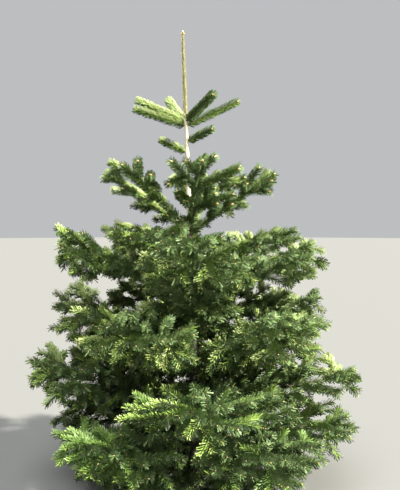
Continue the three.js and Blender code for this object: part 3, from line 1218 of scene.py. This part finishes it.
# A twig's radius at its tip, and the power of the way along that it tapers with
TWIG_TIP_RADIUS = 0.0012
TWIG_TAPER_POWER = 0.8
# Twigs longer than this get the finer tubes. A pair is sides and rings.
STOUT_TWIG = 0.12
STOUT_MESH = (4, 3)
SLIM_MESH = (3, 2)


def twig_skin(shoots: Shoots, sides: int, rings: int) -> Skin:
    """The wood of shoots as thin closed tubes that taper to their tips.

    Args:
        shoots: The shoots.
        sides: How many sides each tube has.
        rings: How many rings each tube has.

    Returns:
        All the tubes as one skin.
    """
    share = np.linspace(0, 1, rings)
    rows = np.repeat(np.arange(len(shoots)), rings)
    along = (shoots.length[:, None] * share).ravel()
    centres = shoots.at(rows, along).reshape(-1, rings, 3)
    across = shoots.across[rows]
    up = np.cross(shoots.heading(rows, along), across).reshape(-1, rings, 3)
    tip_radius = np.minimum(TWIG_TIP_RADIUS, shoots.thickness)
    radii = blend(shoots.thickness[:, None], tip_radius[:, None], share**TWIG_TAPER_POWER)
    radii = np.repeat(radii[..., None], sides, axis=2)
    return many_tubes(centres, across.reshape(-1, rings, 3), up, radii, 0.5 * tip_radius)


@dataclass(frozen=True)
class BudRule:
    """Winter buds at a shoot's tip. Lengths in metres, angles in degrees, other numbers shares of the bud.

    turns says which buds a shoot has: 0 is the end bud, -1 and 1 those beside it. profile gives how far along
    each ring stands and how wide it is. The bud sits the share sunk deep on the shoot's tip.
    """

    length: float = 0.0085
    radius: float = 0.0028
    turns: tuple[int, ...] = (0,)
    side_spread: float = 62.0
    side_share: float = 0.8
    size_jitter: tuple[float, float] = (0.85, 1.15)
    profile: tuple[tuple[float, float], ...] = ((0.12, 0.72), (0.45, 1.0), (0.80, 0.55))
    sunk: float = 0.1
    point: float = 0.2
    sides: int = 4


PLAIN_BUDS = BudRule()
UPPER_BUDS = BudRule(length=0.013, radius=0.0052, turns=(-1, 0, 1))
LEADER_BUDS = BudRule(length=0.017, radius=0.0055, turns=(-1, 0, 1), side_spread=78.0)


def bud_skin(shoots: Shoots, rule: BudRule) -> Skin:
    """Egg-shaped buds on the tips of shoots.

    Args:
        shoots: The shoots that end in buds.
        rule: Which buds each has, and their sizes.

    Returns:
        All the buds as one skin.
    """
    rows = np.arange(len(shoots))
    tip = shoots.at(rows, shoots.length)
    heading = shoots.heading(rows, shoots.length)
    across = shoots.across
    shares, widths = np.array(rule.profile).T
    batches = []
    for turn in rule.turns:
        angle = math.radians(rule.side_spread * turn)
        size = blend(*rule.size_jitter, chance(shoots.ident, turn, 71))
        size = (rule.side_share if turn else 1.0) * size
        way = unit(heading * math.cos(angle) + across * math.sin(angle))
        beside = unit(across * math.cos(angle) - heading * math.sin(angle))
        up = np.cross(way, beside)
        away = size[:, None] * rule.length * (shares - rule.sunk)
        centres = tip[:, None] + way[:, None] * away[..., None]
        radii = np.repeat((size[:, None] * rule.radius * widths)[..., None], rule.sides, axis=2)
        ways = [np.repeat(each[:, None], len(shares), axis=1) for each in (beside, up)]
        batches.append(many_tubes(centres, *ways, radii, size * rule.length * rule.point))
    return Skin.joined(batches)


# Bark


@dataclass(frozen=True)
class RippleRule:
    """The waves that sum to a stem's soft bumps: how many, and how often they go round and along it."""

    count: int = 14
    most_turns: int = 6
    rates: tuple[float, float] = (0.4, 1.6)
    height: float = 1.6


RIPPLES = RippleRule()


def waves(z: Array, angle: Array, seed: int, scale: float) -> Array:
    """Soft bumps round a stem: cosines of whole turns and heights with dealt phases.

    Args:
        z: Heights.
        angle: Angles round the stem.
        seed: Deals the waves.
        scale: The bumps' usual length.

    Returns:
        Their sum, about -1 to 1, at each height and angle.
    """
    total = np.zeros(np.broadcast(z, angle).shape)
    for i in range(RIPPLES.count):
        turns = 1 + int(RIPPLES.most_turns * chance(seed, i, 1))
        rate = 2 * math.pi / scale * float(blend(*RIPPLES.rates, chance(seed, i, 2)))
        phase = 2 * math.pi * float(chance(seed, i, 3))
        tilt = 1 if chance(seed, i, 4) < 0.5 else -1
        total += np.cos(tilt * turns * angle + rate * z + phase)
    return total / math.sqrt(RIPPLES.count) / RIPPLES.height


@dataclass
class TrunkBark:
    """The trunk's skin: blisters, ripples and a swelling where each bough leaves it. Lengths in metres.

    ring_power crowds the rings towards the ground. A blister is spread round the trunk by blister_squash, and
    no pile of them stands over blister_pile of one. They are full size where the trunk is blister_wood thick.
    The shoulders' numbers are shares of a swelling that is shoulder_girth times the bough's own radius.
    """

    boughs: list[BoughCurve]
    rings: int = 430
    sides: int = 32
    ring_power: float = 1.08
    ripple: float = 0.022
    ripple_seed: int = 5
    ripple_scale: float = 0.05
    blister_height: float = 0.0011
    blister_count: int = 420
    blister_seed: int = 31
    blister_foot: float = 0.03
    blister_span: float = 1.85
    blister_sizes: tuple[float, float] = (0.0022, 0.0042)
    blister_squash: float = 1.5
    blister_pile: float = 1.3
    blister_wood: float = 0.02
    shoulder: float = 0.35
    shoulder_girth: float = 1.6
    shoulder_drop: float = 0.4
    shoulder_height: float = 1.5
    shoulder_width: float = 1.2

    def build(self) -> Skin:
        """The whole trunk from its flat cut to its tip.

        Returns:
            Its skin, of finish 0.
        """
        z = TRUNK.height * np.linspace(0, 1, self.rings) ** self.ring_power
        angle = 2 * np.pi * np.arange(self.sides) / self.sides
        height, turn = np.meshgrid(z, angle, indexing="ij")
        plain = TRUNK.radius(height, turn)
        radii = plain * (1 + self.ripple * waves(height, turn, self.ripple_seed, self.ripple_scale))
        radii = radii + self.blisters(height, turn, plain) + self.shoulders(height, turn, plain)
        radii[0] = plain[0]
        across = np.tile([1.0, 0.0, 0.0], (self.rings, 1))
        up = np.tile([0.0, 1.0, 0.0], (self.rings, 1))
        return one_tube(TRUNK.centre(z), across, up, radii)

    def blisters(self, z: Array, angle: Array, plain: Array) -> Array:
        """Resin blisters: low round bumps at dealt places, smaller on the younger wood.

        Args:
            z: Heights.
            angle: Angles round the trunk.
            plain: The radii without bark.

        Returns:
            How far the bark stands out there.
        """
        bump = np.zeros_like(z)
        for i in range(self.blister_count):
            lucks = [float(chance(self.blister_seed, i, kind)) for kind in (1, 2, 3)]
            centre = self.blister_foot + self.blister_span * lucks[0]
            size = float(blend(*self.blister_sizes, lucks[2]))
            near = np.abs(z[:, 0] - centre) < 4 * size
            off = np.angle(np.exp(1j * (angle[near] - 2 * math.pi * lucks[1]))) * plain[near]
            bump[near] += np.exp(-((z[near] - centre) ** 2 + (off / self.blister_squash) ** 2) / size**2)
        pile = np.minimum(bump, self.blister_pile)
        return self.blister_height * pile * np.minimum(1, plain / self.blister_wood)

    def shoulders(self, z: Array, angle: Array, plain: Array) -> Array:
        """The swelling under and round each bough's foot.

        Args:
            z: Heights.
            angle: Angles round the trunk.
            plain: The radii without bark.

        Returns:
            How far the swellings stand out there.
        """
        bump = np.zeros_like(z)
        for curve in self.boughs:
            girth = curve.tier.thickness * self.shoulder_girth
            rise = z - (curve.height + curve.rise * plain - self.shoulder_drop * girth)
            off = np.angle(np.exp(1j * (angle - curve.bearing))) * plain
            rise, off = rise / (self.shoulder_height * girth), off / (self.shoulder_width * girth)
            bump = np.maximum(bump, girth * np.exp(-(rise**2) - off**2))
        return self.shoulder * bump


@dataclass
class BoughBark:
    """The boughs' own wood, from inside the trunk to their tips, with a collar at the foot.

    Lengths are in metres. ring_power crowds the rings towards the foot.
    """

    rings: int = 30
    sides: int = 8
    ring_power: float = 1.15
    collar: float = 0.55
    collar_length: float = 0.022
    ripple: float = 0.05
    ripple_scale: float = 0.035

    def build(self, curve: BoughCurve, seed: int) -> Skin:
        """One bough.

        Args:
            curve: The bough's curve.
            seed: Deals its ripples.

        Returns:
            Its skin, of finish 0.
        """
        u = curve.reach * np.linspace(0, 1, self.rings) ** self.ring_power
        share = u / curve.reach
        limb = curve.tier.limb_share
        thick = curve.tier.thickness
        slim = thick * BOUGH.stem_share
        if limb:
            girth = np.interp(share, [0, limb, 1], [thick, slim, BOUGH.tip_radius])
        else:
            girth = blend(slim, BOUGH.tip_radius, share)
        trunk_girth = TRUNK.radius(np.array([curve.height]), np.array([curve.bearing]))[0]
        foot = np.exp(-np.maximum(u - trunk_girth, 0) / self.collar_length)
        girth = girth * (1 + self.collar * foot)
        angle = 2 * np.pi * np.arange(self.sides) / self.sides
        along, turn = np.meshgrid(u, angle, indexing="ij")
        radii = girth[:, None] * (1 + self.ripple * waves(along, turn, seed, self.ripple_scale))
        across = np.tile(curve.sideways, (self.rings, 1))
        up = np.cross(curve.tangent(u), across)
        return one_tube(curve.point(u), across, up, radii, BOUGH.tip_radius)


# Finishes

Colour = tuple[float, float, float]


class NodeDesk:
    """Places and links nodes in one material, group or world."""

    def __init__(self, tree: bpy.types.NodeTree) -> None:
        """Works on this tree."""
        self.tree = tree

    def feed(self, node: bpy.types.Node, inputs: dict[str | int, object]) -> None:
        """Gives a node's inputs their values.

        Args:
            node: The node.
            inputs: For each input a plain value, or the output that feeds it.
        """
        for name, value in inputs.items():
            if isinstance(value, bpy.types.NodeSocket):
                self.tree.links.new(value, node.inputs[name])
            else:
                node.inputs[name].default_value = value

    def add(
        self, kind: str, output: str, inputs: dict[str | int, object] | None = None, **settings: object
    ) -> bpy.types.NodeSocket:
        """Places a new node.

        Args:
            kind: Its type.
            output: The output that is wanted.
            inputs: What goes into its inputs.
            **settings: Its own settings.

        Returns:
            That output.
        """
        node = self.tree.nodes.new(kind)
        for name, value in settings.items():
            setattr(node, name, value)
        self.feed(node, inputs or {})
        return node.outputs[output]

    def mix(self, share: object, a: object, b: object, blend_type: str = "MIX") -> bpy.types.NodeSocket:
        """The colour a share of the way from a to b, each a value or an output."""
        inputs = {"Factor": share, "A": a, "B": b}
        return self.add("ShaderNodeMix", "Result", inputs, data_type="RGBA", blend_type=blend_type)

    def spread(self, value: object, **ends: float) -> bpy.types.NodeSocket:
        """A value carried from one range to another, both 0 to 1 where no end is given."""
        inputs = {name.replace("_", " ").title(): end for name, end in ends.items()}
        return self.add("ShaderNodeMapRange", "Result", {"Value": value, **inputs})

    def sum(self, operation: str, *values: object) -> bpy.types.NodeSocket:
        """What an operation makes of values and outputs."""
        return self.add("ShaderNodeMath", "Value", dict(enumerate(values)), operation=operation)


# The noise detail of each mask, and the noise values that a mask turns into 0 and 1
MASK_DETAIL = {"Patch": 2.0, "Grain": 4.0}
MASK_ENDS = (0.32, 0.68)


def mottle_group() -> bpy.types.NodeTree:
    """Makes the shared group that gives a patch mask and a fine grain mask from a point.

    Returns:
        A node group with the inputs Point, Patch Scale and Grain Scale, and the outputs Patch and Grain.
    """
    tree = bpy.data.node_groups.new("plant_mottle", "ShaderNodeTree")
    tree.interface.new_socket("Point", in_out="INPUT", socket_type="NodeSocketVector")
    for mask in MASK_DETAIL:
        tree.interface.new_socket(f"{mask} Scale", in_out="INPUT", socket_type="NodeSocketFloat")
    for mask in MASK_DETAIL:
        tree.interface.new_socket(mask, in_out="OUTPUT", socket_type="NodeSocketFloat")
    desk = NodeDesk(tree)
    given = tree.nodes.new("NodeGroupInput").outputs
    made = tree.nodes.new("NodeGroupOutput")
    low, high = MASK_ENDS
    for mask, detail in MASK_DETAIL.items():
        inputs = {"Detail": detail, "Vector": given["Point"], "Scale": given[f"{mask} Scale"]}
        noise = desk.add("ShaderNodeTexNoise", "Fac", inputs)
        desk.feed(made, {mask: desk.spread(noise, from_min=low, from_max=high)})
    return tree


class MottledMaterial:
    """A new material with its shader, the point on the object, and the mottle group's two masks."""

    def __init__(self, name: str, mottle: bpy.types.NodeTree, patch_scale: float, grain_scale: float) -> None:
        """Makes the material.

        Args:
            name: Its name.
            mottle: The shared mottle group.
            patch_scale: How close the patches stand.
            grain_scale: How close the grain stands.
        """
        self.material = bpy.data.materials.new(name)
        self.material.use_nodes = True
        self.desk = NodeDesk(self.material.node_tree)
        self.shader = self.material.node_tree.nodes["Principled BSDF"]
        self.point = self.desk.add("ShaderNodeTexCoord", "Object")
        inputs = {"Patch Scale": patch_scale, "Grain Scale": grain_scale, "Point": self.point}
        self.patch = self.desk.add("ShaderNodeGroup", "Patch", inputs, node_tree=mottle)
        self.grain = self.patch.node.outputs["Grain"]


@dataclass(frozen=True)
class NeedleFinish:
    """A waxy green that varies a little from needle to needle.

    The two shares say how much of the way from dark to light the patches and the grain take. gloss_range
    is added to the roughness, from where the grain is 0 to where it is 1.
    """

    name: str
    dark: Colour
    light: Colour
    roughness: float = 0.48
    specular: float = 0.32
    patch_scale: float = 7.0
    grain_scale: float = 130.0
    patch_share: float = 0.45
    grain_share: float = 0.55
    gloss_range: tuple[float, float] = (-0.06, 0.08)

    def build(self, mottle: bpy.types.NodeTree) -> bpy.types.Material:
        """Makes the material.

        Args:
            mottle: The shared mottle group.

        Returns:
            The material.
        """
        made = MottledMaterial(self.name, mottle, self.patch_scale, self.grain_scale)
        desk = made.desk
        grain = desk.sum("MULTIPLY", made.grain, self.grain_share)
        both = desk.sum("MULTIPLY_ADD", made.patch, self.patch_share, grain)
        smooth, rough = (self.roughness + step for step in self.gloss_range)
        gloss = desk.spread(made.grain, to_min=smooth, to_max=rough)
        colour = desk.mix(both, (*self.dark, 1.0), (*self.light, 1.0))
        desk.feed(
            made.shader, {"Base Color": colour, "Roughness": gloss, "Specular IOR Level": self.specular}
        )
        return made.material


@dataclass(frozen=True)
class BarkFinish:
    """Bark from old at the foot to young at the top, with lichen-pale patches and a fine grain. The dark foot
    is partly painted shade, and the pale top partly painted sunlight.

    It turns from old to young between the first two heights, and on to tip up to the third. gloss_range is
    added to the roughness, from where the patches are 0 to where they are 1. bump_depth is in metres.
    """

    name: str
    old_and_shaded: Colour
    young: Colour
    tip: Colour
    patch: Colour
    heights: tuple[float, float, float] = (1.15, 1.6, 1.97)
    roughness: float = 0.72
    bump: float = 0.25
    bump_depth: float = 0.0008
    patch_scale: float = 26.0
    grain_scale: float = 210.0
    patch_share: float = 0.5
    grain_share: float = 0.45
    gloss_range: tuple[float, float] = (-0.1, 0.12)

    def build(self, mottle: bpy.types.NodeTree) -> bpy.types.Material:
        """Makes the material.

        Args:
            mottle: The shared mottle group.

        Returns:
            The material.
        """
        made = MottledMaterial(self.name, mottle, self.patch_scale, self.grain_scale)
        desk = made.desk
        height = desk.add("ShaderNodeSeparateXYZ", "Z", {"Vector": made.point})
        # Darker towards the foot and paler towards the top: older and younger wood, partly painted shade low
        # down and painted sunlight at the top
        colour = (*self.old_and_shaded, 1.0)
        for low, high, shade in zip(self.heights, self.heights[1:], (self.young, self.tip)):
            rise = desk.spread(height, from_min=low, from_max=high)
            colour = desk.mix(rise, colour, (*shade, 1.0))
        patchy = desk.sum("MULTIPLY", made.patch, self.patch_share)
        colour = desk.mix(patchy, colour, (*self.patch, 1.0))
        colour = desk.mix(self.grain_share, colour, made.grain, "MULTIPLY")
        smooth, rough = (self.roughness + step for step in self.gloss_range)
        gloss = desk.spread(made.patch, to_min=smooth, to_max=rough)
        inputs = {"Strength": self.bump, "Distance": self.bump_depth, "Height": made.grain}
        relief = desk.add("ShaderNodeBump", "Normal", inputs)
        desk.feed(made.shader, {"Base Color": colour, "Roughness": gloss, "Normal": relief})
        return made.material


# Greens from fresh to shaded: the needles' own range of greens with painted light and painted shade dealt
# over them; needle_shaded is painted shade
NEEDLE_FINISHES = {
    Tone.FRESH: NeedleFinish("needle_fresh", (0.140, 0.184, 0.048), (0.222, 0.276, 0.098), 0.42, 0.45),
    Tone.BRIGHT: NeedleFinish("needle_bright", (0.114, 0.172, 0.030), (0.188, 0.262, 0.060), 0.42, 0.45),
    Tone.MIDDLE: NeedleFinish("needle_middle", (0.092, 0.150, 0.024), (0.162, 0.238, 0.048), 0.44, 0.40),
    Tone.DEEP: NeedleFinish("needle_deep", (0.042, 0.082, 0.014), (0.088, 0.144, 0.026)),
    Tone.SHADED: NeedleFinish("needle_shaded", (0.015, 0.032, 0.008), (0.036, 0.064, 0.016)),
    Tone.UNDERSIDE: NeedleFinish("needle_underside", (0.052, 0.092, 0.028), (0.110, 0.164, 0.062), 0.5),
    Tone.LEADER: NeedleFinish("needle_leader", (0.300, 0.290, 0.150), (0.430, 0.410, 0.240), 0.5),
}
# The trunk's dark foot is partly painted shade inside the crown, and its pale cream top partly painted
# sunlight
TRUNK_FINISH = BarkFinish(
    "trunk_bark", (0.060, 0.052, 0.038), (0.520, 0.470, 0.360), (0.640, 0.590, 0.420), (0.220, 0.210, 0.170),
    patch_share=0.2,
)
BOUGH_FINISH = BarkFinish(
    "bough_bark", (0.080, 0.064, 0.042), (0.190, 0.160, 0.080), (0.300, 0.270, 0.120), (0.140, 0.125, 0.090)
)
TWIG_FINISH = BarkFinish(
    "twig_bark", (0.120, 0.095, 0.050), (0.200, 0.175, 0.080), (0.280, 0.260, 0.120), (0.160, 0.165, 0.080),
    roughness=0.65,
)
BUD_FINISH = NeedleFinish("bud_resin", (0.400, 0.250, 0.110), (0.600, 0.430, 0.220), 0.40)


# The tree


@dataclass(frozen=True)
class ToneRule:
    """How a shoot's green is dealt.

    Its score adds up how far out and how far over the bough it ends, which paints light on the crown's
    shell and the bough's top and shade inside, partly also for fresher outer growth, a number dealt to its
    spray and one of its own, and its tier's freshness and painted shade. Each of the steps that it stays
    under is one tone darker.
    """

    outside_light_and_freshness: float = 0.80
    above: float = 0.25
    spray: float = 0.22
    own: float = 0.30
    base: float = -0.48
    steps: tuple[float, ...] = (0.98, 0.54, 0.28, 0.06)


@dataclass(frozen=True)
class LeaderRule:
    """The leader as a shoot, from over the top tier to under the trunk's tip, and how it is clothed.

    Lengths are in metres and angles in degrees. Its side buds stand in bud_turns pairs round it.
    """

    foot_gap: float = 0.012
    tip_gap: float = 0.016
    ident: float = 977.0
    thickness: float = 0.009
    year: float = 1.0
    needles_per_metre: float = 2600.0
    needle_width: float = 0.0034
    bud_turns: int = 4
    first_bud_turn: float = 20.0


TONES = ToneRule()
LEADER = LeaderRule()
FIRST_BOUGH_SEED = 40
# The tiers from the top whose shoots end in three buds
THREE_BUD_TIERS = 3


@dataclass
class Fir:
    """The whole tree: it grows once, and then gives its pieces."""

    boughs: list[BoughCurve] = field(default_factory=list)
    masses: dict[str, list[FoliageMass]] = field(default_factory=dict)

    def grow(self) -> None:
        """Grows every mass by the rule of the solids, then its finer shoots, one order at a time."""
        room = Room()
        for t, tier in enumerate(TIERS):
            self.masses[tier.name] = []
            for index in range(len(tier.directions)):
                curve = BoughCurve(tier, index, t + 1)
                self.boughs.append(curve)
                self.masses[tier.name].append(FoliageMass(curve, 100 * (t + 1) + index, index, room))
        for order, rule in ORDERS_OF_GROWTH:
            for masses in self.masses.values():
                for mass in masses:
                    mass.ramify(order, rule)

    def shoots_of(self, tiers: tuple[Tier, ...]) -> Shoots:
        """All the shoots of some tiers."""
        return Shoots.joined([mass.shoots for tier in tiers for mass in self.masses[tier.name]])

    def tones(self, mass: FoliageMass) -> Array:
        """Deals each shoot a green by its spray: brighter towards the crown's outside and its top, as painted
        light there and painted shade inside, partly also for fresher outer growth.

        Args:
            mass: The mass whose shoots are dealt.

        Returns:
            A tone for each shoot.
        """
        shoots, tier = mass.shoots, mass.curve.tier
        tip = shoots.at(np.arange(len(shoots)), shoots.length)
        away = tip - mass.curve.root
        out = np.hypot(away[:, 0], away[:, 1]) / tier.reach
        over = (away[:, 2] - mass.curve.lift(away @ mass.curve.outward)) / max(tier.above, tier.below)
        # Painted light and shade: shoots far out and high over their bough score lighter, those deep inside
        # darker
        score = TONES.outside_light_and_freshness * out + TONES.above * over + TONES.spray * chance(mass.seed, shoots.spray, 5)
        score = score + TONES.own * chance(shoots.ident, 1, 6) + tier.painted_light_and_freshness
        score = score + (tier.painted_shades[mass.index] if tier.painted_shades else 0.0) + TONES.base
        return np.digitize(-score, -np.array(TONES.steps)).astype(float)

    def dress_tier(self, tier: Tier, finishes: list[bpy.types.Material]) -> None:
        """Makes the needles of one tier, which stand for its masses of foliage.

        Args:
            tier: The tier.
            finishes: The needles' materials, by tone.
        """
        density = tier.needles_per_metre * 1.0
        skins = [
            needle_skin(mass.shoots, PLAIN_NEEDLES, density, tier.needle_width, tier.year, self.tones(mass))
            for mass in self.masses[tier.name]
        ]
        nodes = [f"{tier.name}_foliage_{i + 1}" for i in range(len(tier.directions))]
        for part in range(tier.needle_pieces):
            name = f"needles_{tier.name}" + (f"_part_{part + 1}" if tier.needle_pieces > 1 else "")
            skin = Skin.joined(skins[part :: tier.needle_pieces])
            needles = make_piece(name, skin, finishes, smooth=False)
            place(needles, "needles", nodes[part :: tier.needle_pieces])

    def dress_twigs(self, finish: bpy.types.Material) -> None:
        """Makes the wood of all side shoots.

        Args:
            finish: Its material.
        """
        shoots = self.shoots_of(TIERS)
        side_shoots = shoots.take(shoots.order > 0)
        stout = side_shoots.length > STOUT_TWIG
        skins = [
            twig_skin(side_shoots.take(stout), *STOUT_MESH),
            twig_skin(side_shoots.take(~stout), *SLIM_MESH),
        ]
        place(make_piece("twigs", Skin.joined(skins), [finish], smooth=True), "bough_bark", [])

    def dress_buds(self, finish: bpy.types.Material) -> None:
        """Makes the winter buds: threes on the upper tiers' shoots, one on each of the others.

        Args:
            finish: Their material.
        """
        skins = [
            bud_skin(self.shoots_of(TIERS[:THREE_BUD_TIERS]), UPPER_BUDS),
            bud_skin(self.shoots_of(TIERS[THREE_BUD_TIERS:]), PLAIN_BUDS),
        ]
        leader = leader_shoot()
        for turn in range(LEADER.bud_turns):
            spread = math.radians(360 / LEADER.bud_turns * turn + LEADER.first_bud_turn)
            leader.across = np.array([[math.cos(spread), math.sin(spread), 0.0]])
            skins.append(bud_skin(leader, LEADER_BUDS))
        place(make_piece("buds", Skin.joined(skins), [finish], smooth=True), "buds", [])

    def dress_wood(self, trunk_finish: bpy.types.Material, bough_finish: bpy.types.Material) -> None:
        """Makes the trunk's and the boughs' bark.

        Args:
            trunk_finish: The trunk's material.
            bough_finish: The boughs' material.
        """
        trunk = make_piece("trunk_bark", TrunkBark(self.boughs).build(), [trunk_finish], smooth=True)
        place(trunk, "bark", ["trunk"])
        skins = [BoughBark().build(curve, FIRST_BOUGH_SEED + i) for i, curve in enumerate(self.boughs)]
        boughs = make_piece("boughs_bark", Skin.joined(skins), [bough_finish], smooth=True)
        limbs = [f"{t.name}_bough_{i + 1}" for t in TIERS if t.limb_share for i in range(len(t.directions))]
        place(boughs, "bough_bark", limbs)

    def dress_leader(self, finishes: list[bpy.types.Material]) -> None:
        """Makes the pale needles that lie close to the leader.

        Args:
            finishes: The needles' materials, by tone.
        """
        tones = np.full(1, float(Tone.LEADER))
        density, width = LEADER.needles_per_metre, LEADER.needle_width
        skin = needle_skin(leader_shoot(), LEADER_NEEDLES, density, width, LEADER.year, tones)
        place(make_piece("needles_leader", skin, finishes, smooth=False), "needles", [])


def leader_shoot() -> Shoots:
    """The leader as one shoot, which the trunk's own line carries.

    Returns:
        The one shoot.
    """
    foot = TRUNK.centre(TIERS[0].height + LEADER.foot_gap)
    tip = TRUNK.centre(TRUNK.height - LEADER.tip_gap)
    forward = unit(tip - foot)
    across = unit(np.cross(np.array([0.0, 1.0, 0.0]), forward))
    length = float(np.linalg.norm(tip - foot))
    numbers = {"length": length, "bend": 0.0, "ident": LEADER.ident, "thickness": LEADER.thickness}
    return Shoots.single(foot, forward, across, **numbers)


def place(piece: bpy.types.Object, slot: str, nodes: list[str]) -> None:
    """Rides a piece on the tree's one body.

    Args:
        piece: The piece.
        slot: Not used.
        nodes: The nodes that it stands for, if any.
    """
    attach(piece, "root")
    if nodes:
        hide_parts(*nodes)


# Camera, lights and floor


@dataclass(frozen=True)
class Photographer:
    """Where the photograph was taken from. Lengths in metres, angles in degrees."""

    eye: tuple[float, float, float] = (0.0265, -3.6, 1.48)
    pitch_down: float = 2.4
    sensor: float = 36.0
    focal_pixels: float = 680.0
    picture_height: float = 490.0

    def build(self) -> None:
        """Makes the camera: its lens gives the focal length in pixels over the picture's longer side."""
        data = bpy.data.cameras.new("camera")
        data.sensor_fit = "AUTO"
        data.sensor_width = self.sensor
        data.lens = self.sensor * self.focal_pixels / self.picture_height
        camera = bpy.data.objects.new("camera", data)
        camera.location = self.eye
        camera.rotation_euler = Euler((math.radians(90 - self.pitch_down), 0.0, 0.0))
        bpy.context.scene.collection.objects.link(camera)
        bpy.context.scene.camera = camera


@dataclass(frozen=True)
class Lamp:
    """One far studio lamp, aimed at the crown. Softness is the angle it fills. Angles in degrees."""

    name: str
    azimuth: float
    elevation: float
    strength: float
    softness: float
    colour: Colour

    def build(self) -> None:
        """Makes the lamp: azimuth runs from +X towards +Y."""
        data = bpy.data.lights.new(self.name, "SUN")
        data.energy = self.strength
        data.angle = math.radians(self.softness)
        data.color = self.colour
        lamp = bpy.data.objects.new(self.name, data)
        turn, high = math.radians(self.azimuth), math.radians(self.elevation)
        source = Vector((math.cos(turn) * math.cos(high), math.sin(turn) * math.cos(high), math.sin(high)))
        lamp.rotation_euler = (-source).to_track_quat("-Z", "Y").to_euler()
        bpy.context.scene.collection.objects.link(lamp)


LAMPS = (
    Lamp("key", -30.0, 40.0, 18.0, 3.0, (1.0, 0.96, 0.84)),
    Lamp("fill", -100.0, 62.0, 7.8, 40.0, (0.97, 1.0, 0.98)),
)


@dataclass(frozen=True)
class Studio:
    """The floor and the surroundings: the camera sees the backdrop, and the ambient light reaches the fir."""

    floor_radius: float = 45.0
    floor_sides: int = 96
    floor_colour: Colour = (0.11, 0.11, 0.108)
    floor_roughness: float = 0.9
    ambient_colour: Colour = (0.86, 0.89, 0.87)
    ambient_strength: float = 0.13
    backdrop_colour: Colour = (0.84, 0.86, 0.88)
    backdrop_strength: float = 0.60

    def make_floor(self) -> None:
        """Makes the plain pale floor: one wide disc at ground level."""
        around = np.arange(self.floor_sides)
        angle = 2 * np.pi * around / self.floor_sides
        rim = self.floor_radius * np.stack([np.cos(angle), np.sin(angle), 0 * angle], axis=1)
        middle = np.full(self.floor_sides, self.floor_sides)
        triangles = np.stack([middle, around, (around + 1) % self.floor_sides], axis=1)
        material = bpy.data.materials.new("floor_pale")
        material.use_nodes = True
        shader = material.node_tree.nodes["Principled BSDF"]
        finish = {"Base Color": (*self.floor_colour, 1.0), "Roughness": self.floor_roughness}
        NodeDesk(material.node_tree).feed(shader, finish)
        skin = Skin.plain(np.concatenate([rim, [[0.0, 0.0, 0.0]]]), triangles)
        floor = make_piece("floor", skin, [material], smooth=False)

    def make_world(self) -> None:
        """Makes the pale surroundings, which show paler than they light the tree."""
        world = bpy.data.worlds.new("studio")
        world.use_nodes = True
        desk = NodeDesk(world.node_tree)
        ambient = world.node_tree.nodes["Background"]
        desk.feed(ambient, {"Color": (*self.ambient_colour, 1.0), "Strength": self.ambient_strength})
        inputs = {"Color": (*self.backdrop_colour, 1.0), "Strength": self.backdrop_strength}
        backdrop = desk.add("ShaderNodeBackground", "Background", inputs)
        seen = desk.add("ShaderNodeLightPath", "Is Camera Ray")
        inputs = {"Fac": seen, 1: ambient.outputs["Background"], 2: backdrop}
        either = desk.add("ShaderNodeMixShader", "Shader", inputs)
        desk.feed(world.node_tree.nodes["World Output"], {"Surface": either})
        bpy.context.scene.world = world
        bpy.context.scene.view_settings.view_transform = "Standard"


def main() -> None:
    """Builds the tree around its frame, then the studio."""
    logging.basicConfig(level=logging.INFO, format="%(name)s: %(message)s")
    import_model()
    Photographer().build()
    for lamp in LAMPS:
        lamp.build()
    Studio().make_world()
    Studio().make_floor()
    mottle = mottle_group()
    needle_materials = [NEEDLE_FINISHES[tone].build(mottle) for tone in Tone]
    fir = Fir()
    fir.grow()
    shoots = fir.shoots_of(TIERS)
    LOG.info("%d shoots, %.0f m in all", len(shoots), shoots.length.sum())
    fir.dress_wood(TRUNK_FINISH.build(mottle), BOUGH_FINISH.build(mottle))
    fir.dress_twigs(TWIG_FINISH.build(mottle))
    for tier in TIERS:
        fir.dress_tier(tier, needle_materials)
    fir.dress_leader(needle_materials)
    fir.dress_buds(BUD_FINISH.build(mottle))


if __name__ == "__main__":
    main()
